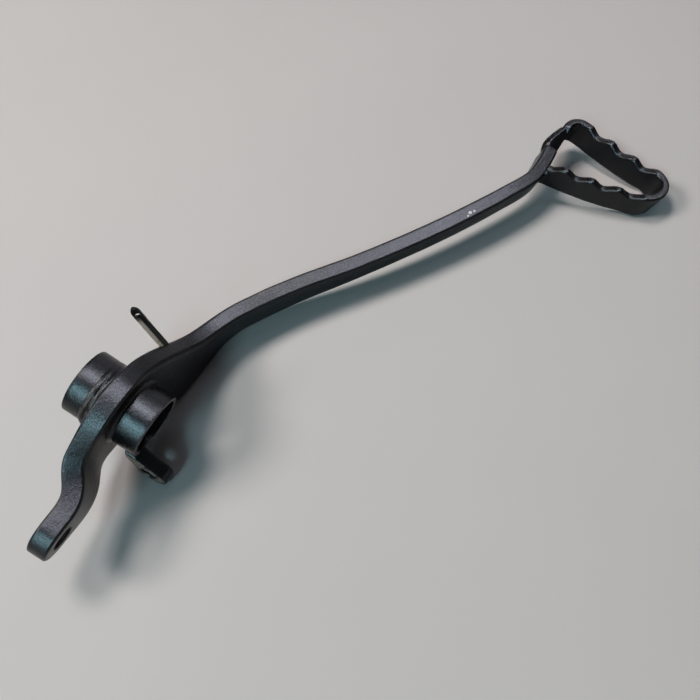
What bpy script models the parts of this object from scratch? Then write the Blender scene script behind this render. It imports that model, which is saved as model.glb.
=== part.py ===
"""Motorcycle rear brake pedal: a welded steel pedal with a pivot tube and a toothed foot loop.

The pedal is drawn as it sits on the machine, with X forward, Y inboard and Z up from the
middle of the pivot tube, and is then turned as one piece so that it lies at rest on a floor.
"""

import math

import bmesh
import bpy
import numpy as np
from mathutils import Matrix, Vector

MM = 0.001

# Fits between pieces
WELD_GAP = 0.3 * MM

# Pivot tube
TUBE_OD = 30.0 * MM
TUBE_WALL = 2.0 * MM
TUBE_OUTBOARD = 17.5 * MM
TUBE_INBOARD = 19.3 * MM
TUBE_EDGE = 0.5 * MM
TUBE_SEGMENTS = 64

# Plate that makes the lever, the eye, the neck and the arm
PLATE_THICKNESS = 9.0 * MM
ARM_THICKNESS = 7.8 * MM
LEVER_EDGE_RADIUS = 1.2 * MM
NECK_EDGE_RADIUS = 2.3 * MM
ARM_EDGE_RADIUS = 1.3 * MM
LEVER_EDGE_END_X = 2.0 * MM
NECK_EDGE_START_X = 30.0 * MM
THICKNESS_CHANGE = ((-80, 0), (30, 0), (75, 1), (150, 1), (200, 1.6), (240, 1.6))
EDGE_STEPS = 3

# Lever eye at the rear end
LEVER_EYE_X = -57.0 * MM
LEVER_EYE_Z = -6.0 * MM
LEVER_EYE_RADIUS = 11.0 * MM
PIN_HOLE_DIAMETER = 10.5 * MM

# Middle of the plate seen from above, along its upper edge and along its lower edge. The two
# differ where the bends at the lever and at the neck run aslant.
UPPER_PLAN = (
    (-72, -9.4), (-50, -9.4), (-44.5, -8.8), (-40.6, -7.1), (-37.4, -4.7), (-34.5, -2.3),
    (-31.2, -0.4), (-27, 0), (12, 0), (18, -0.6), (24, -1.6), (30, -2.8), (38, -4.8), (46, -7.0),
    (57, -9.9), (67.6, -13.9), (77, -19.2), (94.4, -31.0), (118.3, -49.7), (143.1, -67.2),
    (165.8, -81.4), (186.2, -92.5), (197, -97.7), (203.5, -99.7), (212, -100.1), (224, -99.6),
)
LOWER_PLAN = (
    (-72, -9.4), (-45, -9.4), (-41.7, -9.2), (-36.9, -8.2), (-32.7, -6.4), (-28.3, -3.6),
    (-23.4, -1.0), (-18, 0), (4, 0), (10, -2.0), (16, -6.0), (22, -9.2), (30, -10.5), (40, -10.7),
    (49, -10.9), (57, -11.4), (67.6, -13.9), (77, -19.2), (94.4, -31.0), (118.3, -49.7),
    (143.1, -67.2), (165.8, -81.4), (186.2, -92.5), (197, -97.7), (203.5, -99.7), (212, -100.1),
    (224, -99.6),
)

# Upper and lower edges of the plate seen from the side
UPPER_EDGE = (
    (-57, 5.0), (-48, 4.8), (-38, 5.6), (-31, 8.5), (-24, 14.5), (-17.7, 20.0), (-10, 23.6),
    (-3, 24.5), (6, 22.6), (14, 18.6), (22.6, 13.2), (30, 7.4), (38, 0.5), (46, -3.8), (56, -5.6),
    (68, -4.0), (86, 2.1), (106.6, 10.1), (130.5, 19.9), (156, 29.3), (175.5, 35.7), (194, 40.3),
    (224, 43.0),
)
LOWER_EDGE = (
    (-57, -17.0), (-48, -20.0), (-36, -20.6), (-28, -21.4), (-20, -24.2), (-12, -26.6), (0, -29.0),
    (12, -30.7), (24, -31.6), (42, -32.0), (54, -31.2), (66, -28.0), (75.6, -23.3), (93, -14.6),
    (105, -7.6), (128, 4.6), (154, 15.2), (174, 21.6), (192, 26.4), (224, 30.5),
)
NECK_END_X = 60.0 * MM
LOOP_BEND_X = 186.0 * MM
ARM_END_X = 224.0 * MM

# Foot loop, with its places along X measured from the arm's end
LOOP_THICKNESS = 4.0 * MM
LOOP_HEIGHT = 14.6 * MM
LOOP_EDGE = 0.9 * MM
LOOP_RISE_DEG = 13.5
LOOP_BASE_Z = 31.6 * MM
LOOP_START_Y = -100.9 * MM
LOOP_CORNER_X = ARM_END_X + 14.0 * MM
LOOP_CORNER_RADIUS = 6.2 * MM
LOOP_U_CENTRE = (ARM_END_X - 1.2 * MM, -147.4 * MM)
LOOP_U_HALF_WIDTH = 9.8 * MM
LOOP_U_DEPTH = 9.0 * MM
LOOP_FRONT_RUN = (
    (-147.4, 8.6), (-138, 10.4), (-128, 13.2), (-117, 16.9), (-112, 18.8), (-107.1, 20.2),
)
LOOP_REAR_RUN = ((-147.4, -11.0), (-136, -13.2), (-126, -14.6), (-115, -15.4), (-99, -15.7))
LOOP_REAR_END_Y = -100.5 * MM
LOOP_END_DROP = 3.0 * MM
LOOP_FRONT_DROP_X = (ARM_END_X + 7.0 * MM, ARM_END_X + 12.0 * MM)
LOOP_REAR_DROP_Y = (-104.5 * MM, -110.0 * MM)
TOOTH_PITCH = 13.2 * MM
TOOTH_DEPTH = 2.6 * MM
TOOTH_FIRST_Y = -117.3 * MM
TOOTH_COUNT = 3

# Stop lug
LUG_PAST_TUBE = 0.5 * MM
LUG_REAR_X = -TUBE_OD / 2 - LUG_PAST_TUBE
LUG_THICKNESS = 7.4 * MM
LUG_LAP = 5.5 * MM
LUG_SINK = 2.0 * MM
LUG_HOLE_Y = -24.5 * MM
LUG_HOLE_Z = -20.5 * MM
LUG_END_RADIUS = 9.3 * MM
LUG_HOLE_DIAMETER = 9.0 * MM
LUG_EDGE = 0.8 * MM

# Spring tab
TAB_FOOT = (31.0 * MM, 0.2 * MM, 5.0 * MM)
TAB_TIP = (28.9 * MM, 15.0 * MM, 31.0 * MM)
TAB_WIDTH = 4.0 * MM
TAB_THICKNESS = 2.2 * MM
TAB_TIP_THICKNESS = 1.6 * MM
TAB_TWIST_DEG = 40.0
TAB_TWIST_START = 0.15
TAB_TWIST_END = 0.75
TAB_HOLE_DIAMETER = 2.6 * MM
TAB_HOLE_FROM_TIP = 4.4 * MM

# Welds
COLLAR_LENGTH = 6.0 * MM
COLLAR_HEIGHT = 2.4 * MM
FILLET_LEG = 3.4 * MM
FRONT_WELD_LENGTH = 7.5 * MM
REAR_WELD_RADIUS = 1.3 * MM

PAINT = (0.022, 0.022, 0.024)
PAINT_ROUGHNESS = 0.42


def clear_scene():
    for obj in list(bpy.data.objects):
        bpy.data.objects.remove(obj)


def smooth_line(points, at):
    """Values of a curve without overshoot through the points, whose sizes are in millimetres."""
    x = np.array([p[0] for p in points], float)
    y = np.array([p[1] for p in points], float)
    step = np.diff(x)
    rise = np.diff(y) / step
    slope = np.zeros(len(x))
    for i in range(1, len(x) - 1):
        if rise[i - 1] * rise[i] > 0:
            before = 2 * step[i] + step[i - 1]
            after = step[i] + 2 * step[i - 1]
            slope[i] = (before + after) / (before / rise[i - 1] + after / rise[i])
    slope[-1] = rise[-1]
    at = np.clip(np.asarray(at, float), x[0], x[-1])
    i = np.clip(np.searchsorted(x, at, side="right") - 1, 0, len(step) - 1)
    t = (at - x[i]) / step[i]
    keep = (1 + 2 * t) * (1 - t) ** 2 * y[i] + (3 - 2 * t) * t * t * y[i + 1]
    bend = t * (1 - t) ** 2 * slope[i] - t * t * (1 - t) * slope[i + 1]
    return keep + bend * step[i]


def millimetres(points, at):
    return smooth_line(points, np.asarray(at) / MM) * MM


def eased(value, start, end):
    """0 at the start and 1 at the end, with a smooth change between."""
    share = min(max((value - start) / (end - start), 0.0), 1.0)
    return share * share * (3 - 2 * share)


def new_object(name, mesh_data):
    mesh = bpy.data.meshes.new(name)
    mesh_data.normal_update()
    bmesh.ops.recalc_face_normals(mesh_data, faces=mesh_data.faces)
    mesh_data.to_mesh(mesh)
    mesh_data.free()
    obj = bpy.data.objects.new(name, mesh)
    bpy.context.scene.collection.objects.link(obj)
    return obj


def mesh_object(name, points, faces):
    data = bmesh.new()
    verts = [data.verts.new(p) for p in points]
    for face in faces:
        data.faces.new([verts[i] for i in face])
    return new_object(name, data)


def lofted(name, loops):
    """A closed solid through loops that all have the same number of points, capped at both ends."""
    count = len(loops[0])
    points = [p for loop in loops for p in loop]
    faces = [tuple(range(count))[::-1]]
    for i in range(len(loops) - 1):
        for j in range(count):
            k = (j + 1) % count
            faces.append((i * count + j, i * count + k, (i + 1) * count + k, (i + 1) * count + j))
    last = (len(loops) - 1) * count
    faces.append(tuple(range(last, last + count)))
    return mesh_object(name, points, faces)


def ring_about_y(name, profile, segments=TUBE_SEGMENTS):
    """A closed ring about the tube's axis from a profile of (y, radius) points."""
    count = len(profile)
    points = []
    for i in range(segments):
        turn = 2 * math.pi * i / segments
        for y, radius in profile:
            points.append((radius * math.cos(turn), y, radius * math.sin(turn)))
    faces = []
    for i in range(segments):
        after = (i + 1) % segments
        for j in range(count):
            k = (j + 1) % count
            faces.append((i * count + j, i * count + k, after * count + k, after * count + j))
    return mesh_object(name, points, faces)


def cutter(name, centre, direction, radius, length, segments=48):
    """A hidden cylinder used to cut a round hole."""
    data = bmesh.new()
    turn = Vector(direction).to_track_quat("Z", "Y").to_matrix().to_4x4()
    place = Matrix.Translation(Vector(centre)) @ turn
    bmesh.ops.create_cone(
        data, cap_ends=True, segments=segments, radius1=radius, radius2=radius, depth=length,
        matrix=place,
    )
    return hidden(new_object(name, data))


def cut(obj, tool):
    modifier = obj.modifiers.new("cut " + tool.name, "BOOLEAN")
    modifier.operation = "DIFFERENCE"
    modifier.solver = "EXACT"
    modifier.object = tool


def painted(obj):
    material = bpy.data.materials.new(obj.name + " paint")
    material.use_nodes = True
    shader = material.node_tree.nodes["Principled BSDF"]
    shader.inputs["Base Color"].default_value = (*PAINT, 1.0)
    shader.inputs["Roughness"].default_value = PAINT_ROUGHNESS
    shader.inputs["Metallic"].default_value = 0.0
    obj.data.materials.append(material)
    obj.data.shade_smooth()
    obj.data.set_sharp_from_angle(angle=math.radians(32))
    return obj


def hidden(obj):
    obj.hide_render = True
    obj.display_type = "WIRE"
    return obj


def plate_stations():
    """Where the plate is drawn along X, closer together round the lever's end and at the bends."""
    tip = [LEVER_EYE_X - LEVER_EYE_RADIUS * math.cos(math.radians(a)) for a in range(0, 90, 10)]
    body = np.arange(LEVER_EYE_X, NECK_END_X, 2.4 * MM)
    arm = np.linspace(NECK_END_X, LOOP_BEND_X, 28)
    end = np.linspace(LOOP_BEND_X, ARM_END_X, 13)[1:]
    return np.concatenate([tip, body, arm, end])


def plate_edges(x):
    """Upper and lower edge heights of the plate at each X."""
    reach = np.sqrt(np.clip(LEVER_EYE_RADIUS**2 - (x - LEVER_EYE_X) ** 2, 0, None))
    in_eye = x < LEVER_EYE_X
    top = np.where(in_eye, LEVER_EYE_Z + reach, millimetres(UPPER_EDGE, x))
    bottom = np.where(in_eye, LEVER_EYE_Z - reach, millimetres(LOWER_EDGE, x))
    return top, bottom


def outward(along, height, side):
    """Unit vectors that point out of the plate's outline, from its distance and height."""
    run = np.gradient(along)
    rise = np.gradient(height)
    size = np.hypot(run, rise)
    return -rise / size * side, run / size * side


def plate(name, grown=0.0):
    """The whole bent plate, without its holes, made larger all round by the distance grown."""
    x = plate_stations()
    fine_x = np.linspace(x[0], x[-1], 1200)
    fine_upper = millimetres(UPPER_PLAN, fine_x)
    fine_lower = millimetres(LOWER_PLAN, fine_x)
    fine_y = (fine_upper + fine_lower) / 2
    fine_s = np.concatenate([[0], np.cumsum(np.hypot(np.diff(fine_x), np.diff(fine_y)))])
    fine_dx = np.gradient(fine_x, fine_s)
    fine_dy = np.gradient(fine_y, fine_s)
    fine_top, fine_bottom = plate_edges(fine_x)
    s = np.interp(x, fine_x, fine_s)
    top, bottom = plate_edges(x)
    share = smooth_line(THICKNESS_CHANGE, x / MM)
    half = (PLATE_THICKNESS + (ARM_THICKNESS - PLATE_THICKNESS) * share) / 2
    rounding = np.array([eased(at, LEVER_EDGE_END_X, NECK_EDGE_START_X) for at in x])
    radius = LEVER_EDGE_RADIUS + (NECK_EDGE_RADIUS - LEVER_EDGE_RADIUS) * rounding
    radius += (ARM_EDGE_RADIUS - radius) * np.minimum(share, 1)

    def placed(along, height, offset):
        upper_z = np.interp(along, fine_s, fine_top)
        lower_z = np.interp(along, fine_s, fine_bottom)
        share_up = (height - lower_z) / np.maximum(upper_z - lower_z, 4 * MM)
        slant = np.interp(along, fine_s, fine_upper - fine_lower)
        px = np.interp(along, fine_s, fine_x) - offset * np.interp(along, fine_s, fine_dy)
        py = np.interp(along, fine_s, fine_y) + offset * np.interp(along, fine_s, fine_dx)
        beyond = np.minimum(along, 0) + np.maximum(along - fine_s[-1], 0)
        return np.stack([px + beyond, py + slant * (share_up - 0.5), height], axis=1)

    quarter = [math.radians(90.0 * k / EDGE_STEPS) for k in range(EDGE_STEPS + 1)]
    rings = [(1, 1 - math.sin(turn), math.cos(turn)) for turn in quarter]
    rings += [(-1, inset, reach) for _, inset, reach in reversed(rings)]
    edges = []
    for height, side in ((top, 1.0), (bottom, -1.0)):
        out_s, out_z = outward(s, height, side)
        out_s[0], out_z[0] = -1.0, 0.0
        out_s[-1], out_z[-1] = 0.0, side
        edge = []
        for face_side, inset, reach in rings:
            move = inset * radius - grown
            offset = face_side * (half + grown - radius + radius * reach)
            edge.append(placed(s - out_s * move, height - out_z * move, offset))
        edges.append(np.stack(edge, axis=1))
    upper, lower = edges
    count, width = upper.shape[:2]
    points = [tuple(p) for p in upper.reshape(-1, 3)] + [tuple(p) for p in lower[1:].reshape(-1, 3)]

    def up(i, j):
        return i * width + j

    def down(i, j):
        return j if i == 0 else (count + i - 1) * width + j

    faces = []
    for i in range(count - 1):
        for j in range(width - 1):
            faces.append((up(i, j), up(i + 1, j), up(i + 1, j + 1), up(i, j + 1)))
            faces.append((down(i, j), down(i, j + 1), down(i + 1, j + 1), down(i + 1, j)))
        for j in (0, width - 1):
            face = [up(i, j), up(i + 1, j), down(i + 1, j), down(i, j)]
            faces.append(tuple(dict.fromkeys(face)))
    end = [up(count - 1, j) for j in range(width)]
    end += [down(count - 1, j) for j in reversed(range(width))]
    faces.append(tuple(end))
    return mesh_object(name, points, faces)


def pedal_arm():
    arm = plate("pedal_arm")
    bore = cutter(
        "tube bore cutter", (0, 0, 0), (0, 1, 0), TUBE_OD / 2 + WELD_GAP, 2 * TUBE_OD,
        TUBE_SEGMENTS,
    )
    pin_y = float(millimetres(UPPER_PLAN, LEVER_EYE_X))
    pin = cutter(
        "pin hole cutter", (LEVER_EYE_X, pin_y, LEVER_EYE_Z), (0, 1, 0),
        PIN_HOLE_DIAMETER / 2, 3 * PLATE_THICKNESS,
    )
    cut(arm, bore)
    cut(arm, pin)
    return arm


def pivot_tube():
    outer = TUBE_OD / 2
    inner = outer - TUBE_WALL
    low = -TUBE_OUTBOARD
    high = TUBE_INBOARD
    profile = [
        (low, inner), (low, outer - TUBE_EDGE), (low + TUBE_EDGE, outer),
        (high - TUBE_EDGE, outer), (high, outer - TUBE_EDGE), (high, inner),
    ]
    return ring_about_y("pivot_tube", profile)


def tube_weld_inboard():
    inner = TUBE_OD / 2 + WELD_GAP
    start = PLATE_THICKNESS / 2 + WELD_GAP
    length = COLLAR_LENGTH
    rise = COLLAR_HEIGHT
    profile = [(start, inner), (start, inner + rise)]
    for k in range(1, 5):
        turn = math.radians(90 * k / 4)
        profile.append((start + length * math.sin(turn), inner + rise * math.cos(turn) ** 1.3))
    return ring_about_y("tube_weld_inboard", profile[:-1] + [(start + length, inner)])


def plate_outboard_face(x, z):
    """Y of the plate's outboard face beside the tube, which leans out where the neck begins."""
    ahead = x + 1 * MM
    top, bottom = plate_edges(x)
    share_up = (z - bottom) / (top - bottom)

    def middle(at):
        lower = millimetres(LOWER_PLAN, at)
        return lower + (millimetres(UPPER_PLAN, at) - lower) * share_up

    slope = (middle(ahead) - middle(x)) / (ahead - x)
    return float(middle(x) - PLATE_THICKNESS / 2 * math.hypot(1, slope))


def tube_weld_outboard(plate_seat):
    """Fillet round the tube that follows the plate's outboard face."""
    inner = TUBE_OD / 2 + WELD_GAP
    middle = inner + FILLET_LEG / 2
    profile = [(FILLET_LEG / 2, inner), (FILLET_LEG / 2, inner + FILLET_LEG)]
    for k in range(5):
        turn = math.radians(90 * k / 4)
        depth = FILLET_LEG * (1 - math.cos(turn))
        profile.append((-depth, inner + FILLET_LEG * (1 - math.sin(turn))))
    ring = ring_about_y("tube_weld_outboard", profile)
    for vertex in ring.data.vertices:
        turn = math.atan2(vertex.co.z, vertex.co.x)
        vertex.co.y += plate_outboard_face(middle * math.cos(turn), middle * math.sin(turn))
        vertex.co.y -= WELD_GAP
    cut(ring, plate_seat)
    return ring


def run_x(run, y):
    """X of the foot loop's front or rear run at this Y."""
    return ARM_END_X + float(millimetres(run, y))


def loop_line():
    """Middle of the foot loop's strip seen from above, with the drop of its upper edge."""
    line = []
    for x in np.linspace(ARM_END_X + WELD_GAP, LOOP_CORNER_X, 7):
        line.append((x, LOOP_START_Y, LOOP_END_DROP * (1 - eased(x, *LOOP_FRONT_DROP_X))))
    for k in range(1, 8):
        turn = math.pi / 2 * k / 8
        x = LOOP_CORNER_X + LOOP_CORNER_RADIUS * math.sin(turn)
        line.append((x, LOOP_START_Y - LOOP_CORNER_RADIUS * (1 - math.cos(turn)), 0.0))
    u_x, u_y = LOOP_U_CENTRE
    for y in np.linspace(LOOP_START_Y - LOOP_CORNER_RADIUS, u_y, 28):
        line.append((run_x(LOOP_FRONT_RUN, y), y, tooth_drop(y)))
    for k in range(1, 14):
        turn = math.pi * k / 14
        x = u_x + LOOP_U_HALF_WIDTH * math.cos(turn)
        y = u_y - LOOP_U_DEPTH * math.sin(turn)
        line.append((x, y, tooth_drop(y)))
    for y in np.linspace(u_y, LOOP_REAR_END_Y, 30):
        end_drop = LOOP_END_DROP * (1 - eased(y, *LOOP_REAR_DROP_Y))
        line.append((run_x(LOOP_REAR_RUN, y), y, max(tooth_drop(y), end_drop)))
    return line


def tooth_drop(y):
    """How far the toothed edge sinks below its full height at this Y."""
    drop = 0.0
    for k in range(TOOTH_COUNT):
        away = abs(y - (TOOTH_FIRST_Y - k * TOOTH_PITCH)) / (TOOTH_PITCH / 2)
        if away < 1:
            drop = max(drop, (1 + math.cos(math.pi * away)) / 2)
    return drop * TOOTH_DEPTH


def strip_loop(name, grown=0.0):
    """The toothed strip bent to a loop, made larger all round by the distance grown."""
    line = np.array(loop_line())
    plan = line[:, :2]
    tangent = np.gradient(plan, axis=0)
    tangent /= np.linalg.norm(tangent, axis=1)[:, None]
    side = np.stack([-tangent[:, 1], tangent[:, 0]], axis=1)
    rise = math.tan(math.radians(LOOP_RISE_DEG))
    half = LOOP_THICKNESS / 2 + grown
    edge = LOOP_EDGE
    loops = []
    for centre, across, drop in zip(plan, side, line[:, 2]):
        low = -grown
        top = LOOP_HEIGHT - drop + grown
        section = [
            (-half + edge, low), (half - edge, low), (half, low + edge), (half, top - edge),
            (half - edge, top), (-half + edge, top), (-half, top - edge), (-half, low + edge),
        ]
        loop = []
        for offset, height in section:
            x, y = centre + across * offset
            loop.append((x, y, LOOP_BASE_Z + (LOOP_START_Y - y) * rise + height))
        loops.append(loop)
    return lofted(name, loops)


def foot_loop(plate_seat):
    loop = strip_loop("foot_loop")
    cut(loop, plate_seat)
    return loop


def loop_weld_front():
    """Weld that fills the step between the arm's end and the inboard face of the strip."""
    x = ARM_END_X + WELD_GAP
    strip_y = LOOP_START_Y + LOOP_THICKNESS / 2 + WELD_GAP
    arm_y = float(millimetres(UPPER_PLAN, ARM_END_X)) + ARM_THICKNESS / 2 - 0.4 * MM
    outline = [(x, strip_y), (x, arm_y)]
    for k in range(1, 5):
        share = k / 5
        bulge = 1.3 * MM * math.sin(math.pi * share)
        outline.append((x + FRONT_WELD_LENGTH * share, arm_y + (strip_y - arm_y) * share + bulge))
    outline.append((x + FRONT_WELD_LENGTH, strip_y))
    low = float(millimetres(LOWER_EDGE, ARM_END_X)) + 1.2 * MM
    high = float(millimetres(UPPER_EDGE, ARM_END_X)) - 0.2 * MM
    loops = []
    for z, inset in ((low, 0.4), (low + 1 * MM, 0.0), (high - 1.2 * MM, 0.0), (high, 0.35)):
        loops.append([(a + (x - a) * inset, b + (strip_y - b) * inset, z) for a, b in outline])
    return lofted("loop_weld_front", loops)


def loop_weld_rear(plate_seat, loop_seat):
    """Weld bead up, over and down the strip where it meets the arm's outboard side."""
    centre_x = run_x(LOOP_REAR_RUN, LOOP_REAR_END_Y)
    y = float(millimetres(UPPER_PLAN, centre_x)) - ARM_THICKNESS / 2 - 0.5 * MM
    reach = LOOP_THICKNESS / 2 + 0.5 * MM
    rise = (LOOP_START_Y - y) * math.tan(math.radians(LOOP_RISE_DEG))
    low = LOOP_BASE_Z + rise + 1.5 * MM
    high = LOOP_BASE_Z + rise + LOOP_HEIGHT - LOOP_END_DROP - 0.4 * MM
    path = [(centre_x - reach, y, z) for z in np.linspace(low, high - 1.2 * MM, 6)]
    for k in range(1, 6):
        turn = math.pi * k / 6
        z = high - 1.2 * MM + 2.2 * MM * math.sin(turn)
        path.append((centre_x - reach * math.cos(turn), y, z))
    path += [(centre_x + reach, y, z) for z in np.linspace(high - 1.2 * MM, low, 6)]
    weld = bead("loop_weld_rear", path, REAR_WELD_RADIUS)
    cut(weld, plate_seat)
    cut(weld, loop_seat)
    return weld


def lug_outline():
    """Outline of the stop lug as (y, z) points, from the tube's wall round its free end."""
    centre = np.array([LUG_HOLE_Y, LUG_HOLE_Z])
    inner_y = -TUBE_OUTBOARD + LUG_LAP
    inner_z = -TUBE_OD / 2 + LUG_SINK
    points = [np.array([inner_y, inner_z / 2]), np.array([inner_y, inner_z])]
    for degrees in range(-58, -222, -14):
        turn = math.radians(degrees)
        points.append(centre + LUG_END_RADIUS * np.array([math.cos(turn), math.sin(turn)]))
    points.append(np.array([-TUBE_OUTBOARD, -TUBE_OD / 4]))
    points.append(np.array([-TUBE_OUTBOARD, inner_z / 2]))
    return points


def stop_lug():
    outline = lug_outline()
    middle = np.mean(outline, axis=0)
    loops = []
    depths = (0, LUG_EDGE, LUG_THICKNESS - LUG_EDGE, LUG_THICKNESS)
    for depth, inset in zip(depths, (LUG_EDGE, 0, 0, LUG_EDGE)):
        loop = []
        for p in outline:
            toward = middle - p
            q = p + toward / np.linalg.norm(toward) * inset
            loop.append((LUG_REAR_X + depth, q[0], q[1]))
        loops.append(loop)
    lug = lofted("stop_lug", loops)
    seat = cutter(
        "lug seat cutter", (0, -WELD_GAP, 0), (0, 1, 0),
        TUBE_OD / 2 + WELD_GAP, 2 * TUBE_OUTBOARD, TUBE_SEGMENTS,
    )
    hole = cutter(
        "lug hole cutter", (LUG_REAR_X, LUG_HOLE_Y, LUG_HOLE_Z), (1, 0, 0),
        LUG_HOLE_DIAMETER / 2, 4 * LUG_THICKNESS,
    )
    cut(lug, seat)
    cut(lug, hole)
    return lug


def spring_tab(plate_seat):
    """A narrow strip that twists a little towards its rounded, drilled tip."""
    foot = Vector(TAB_FOOT)
    tip = Vector(TAB_TIP)
    along = (tip - foot).normalized()
    ahead = Vector((1, 0, 0))
    flat = (ahead - along * along.dot(ahead)).normalized()
    length = (tip - foot).length
    round_start = 1 - TAB_WIDTH / 2 / length
    shares = list(np.linspace(0, round_start, 11))
    shares += [1 - (1 - round_start) * (1 - math.sin(math.radians(a))) for a in (20, 40, 60, 80)]
    corners = (
        (-1, -0.6), (-0.8, -1), (0.8, -1), (1, -0.6), (1, 0.6), (0.8, 1), (-0.8, 1), (-1, 0.6),
    )
    loops = []
    for share in shares:
        twist = math.radians(TAB_TWIST_DEG) * eased(share, TAB_TWIST_START, TAB_TWIST_END)
        wide = Matrix.Rotation(-twist, 3, along) @ flat
        thin = along.cross(wide)
        reach = max(0.0, (share - round_start) / (1 - round_start))
        width = TAB_WIDTH * math.sqrt(1 - reach**2)
        thick = TAB_THICKNESS + (TAB_TIP_THICKNESS - TAB_THICKNESS) * share
        centre = foot + along * length * share
        loops.append([
            tuple(centre + wide * (a * width / 2) + thin * (b * thick / 2)) for a, b in corners
        ])
    tab = lofted("spring_tab", loops)
    hole = cutter(
        "tab hole cutter", tip - along * TAB_HOLE_FROM_TIP, thin,
        TAB_HOLE_DIAMETER / 2, 3 * TAB_WIDTH, 24,
    )
    cut(tab, hole)
    cut(tab, plate_seat)
    return tab


def bead(name, points, radius):
    """A weld bead along a line of points, with tapered ends."""
    points = [Vector(p) for p in points]
    loops = []
    for i, centre in enumerate(points):
        before = points[max(i - 1, 0)]
        after = points[min(i + 1, len(points) - 1)]
        along = (after - before).normalized()
        first = along.cross(Vector((0.3, 0.2, 0.93))).normalized()
        second = along.cross(first)
        size = radius * (0.55 if i in (0, len(points) - 1) else 1.0)
        loops.append([
            tuple(centre + first * size * math.cos(t) + second * size * math.sin(t))
            for t in [2 * math.pi * k / 8 for k in range(8)]
        ])
    return lofted(name, loops)


def resting_turn(objects):
    """The turn that lays the pedal on a floor, on the face of its hull that it settles on."""
    graph = bpy.context.evaluated_depsgraph_get()
    cloud = bmesh.new()
    volume = 0.0
    moment = Vector((0, 0, 0))
    for obj in objects:
        evaluated = obj.evaluated_get(graph)
        mesh = evaluated.to_mesh()
        mesh.calc_loop_triangles()
        for vertex in mesh.vertices:
            cloud.verts.new(vertex.co)
        for triangle in mesh.loop_triangles:
            a, b, c = (mesh.vertices[i].co for i in triangle.vertices)
            part = a.dot(b.cross(c)) / 6
            volume += part
            moment += (a + b + c) / 4 * part
        evaluated.to_mesh_clear()
    centre = moment / volume
    hull = bmesh.ops.convex_hull(cloud, input=cloud.verts, use_existing_faces=False)
    expected = Vector((0.068, -0.398, -0.915)).normalized()
    best = None
    for face in [f for f in cloud.faces if f.is_valid]:
        normal = face.normal.copy()
        corners = [v.co for v in face.verts]
        if normal.dot(corners[0] - centre) < 0:
            normal.negate()
        foot = centre + normal * normal.dot(corners[0] - centre)
        turns = [
            (corners[(i + 1) % len(corners)] - corners[i]).cross(foot - corners[i]).dot(face.normal)
            for i in range(len(corners))
        ]
        if min(turns) < 0 < max(turns):
            continue
        if best is None or normal.dot(expected) > best.dot(expected):
            best = normal
    cloud.free()
    up = -best
    ahead = Vector((1, 0, 0))
    ahead = (ahead - up * ahead.dot(up)).normalized()
    return Matrix((ahead, up.cross(ahead), up))


def resting_place(objects):
    """Where the pedal lies: on the floor, with its box centred over the origin."""
    turn = resting_turn(objects)
    graph = bpy.context.evaluated_depsgraph_get()
    corners = []
    for obj in objects:
        evaluated = obj.evaluated_get(graph)
        mesh = evaluated.to_mesh()
        corners += [turn @ vertex.co for vertex in mesh.vertices]
        evaluated.to_mesh_clear()
    low = Vector([min(p[i] for p in corners) for i in range(3)])
    high = Vector([max(p[i] for p in corners) for i in range(3)])
    middle = (low + high) / 2
    return Matrix.Translation((-middle.x, -middle.y, -low.z)) @ turn.to_4x4()


def build():
    clear_scene()
    plate_seat = hidden(plate("plate seat cutter", WELD_GAP))
    loop_seat = hidden(strip_loop("loop seat cutter", WELD_GAP))
    pieces = [
        pedal_arm(), pivot_tube(), foot_loop(plate_seat), stop_lug(), spring_tab(plate_seat),
        tube_weld_inboard(), tube_weld_outboard(plate_seat), loop_weld_front(),
        loop_weld_rear(plate_seat, loop_seat),
    ]
    for piece in pieces:
        painted(piece)
    bpy.context.view_layer.update()
    rest = bpy.data.objects.new("pedal at rest", None)
    bpy.context.scene.collection.objects.link(rest)
    rest.matrix_world = resting_place(pieces)
    for obj in bpy.data.objects:
        if obj != rest:
            obj.parent = rest
    bpy.context.view_layer.update()


build()
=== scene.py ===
"""Looks of the motorcycle rear brake pedal: welded steel under satin black paint, on a pale floor.

Each piece is drawn as it sits on the machine, with X forward, Y inboard and Z up from the
middle of the pivot tube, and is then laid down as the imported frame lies.
"""

import math

import bmesh
import bpy
import numpy as np
from mathutils import Matrix, Vector, noise


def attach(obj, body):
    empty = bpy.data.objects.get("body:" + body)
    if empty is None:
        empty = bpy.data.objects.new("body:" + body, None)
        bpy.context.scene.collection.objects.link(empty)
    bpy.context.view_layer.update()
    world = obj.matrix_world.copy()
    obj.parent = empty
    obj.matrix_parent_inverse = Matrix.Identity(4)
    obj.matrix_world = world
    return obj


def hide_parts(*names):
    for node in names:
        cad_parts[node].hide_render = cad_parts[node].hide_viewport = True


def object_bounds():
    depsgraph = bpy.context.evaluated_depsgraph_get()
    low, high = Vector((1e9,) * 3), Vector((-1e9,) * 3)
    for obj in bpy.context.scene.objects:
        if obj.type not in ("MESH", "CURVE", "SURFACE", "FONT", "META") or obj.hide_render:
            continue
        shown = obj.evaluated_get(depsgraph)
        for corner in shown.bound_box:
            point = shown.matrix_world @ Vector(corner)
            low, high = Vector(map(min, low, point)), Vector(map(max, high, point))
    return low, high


MM = 0.001
BODY = "root"
BOX_GAP = 0.01 * MM
SHARP_DEG = 40

# How the pedal lies on the floor
REST_ROLL_DEG = 24.245
REST_PITCH_DEG = 3.575

# Pivot tube
TUBE_OD = 30.0 * MM
TUBE_WALL = 2.0 * MM
TUBE_OUTBOARD = 17.5 * MM
TUBE_INBOARD = 19.3 * MM
TUBE_EDGE = 0.45 * MM
TUBE_MOUTH_EDGE = 0.45 * MM
TUBE_SEGMENTS = 180
TUBE_ROWS = 24
BORE_ROWS = 14

# Middle of the tube's wall, where the plate, the lug and the welds stop
WELDED_RADIUS = TUBE_OD / 2 - TUBE_WALL / 2

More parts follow.
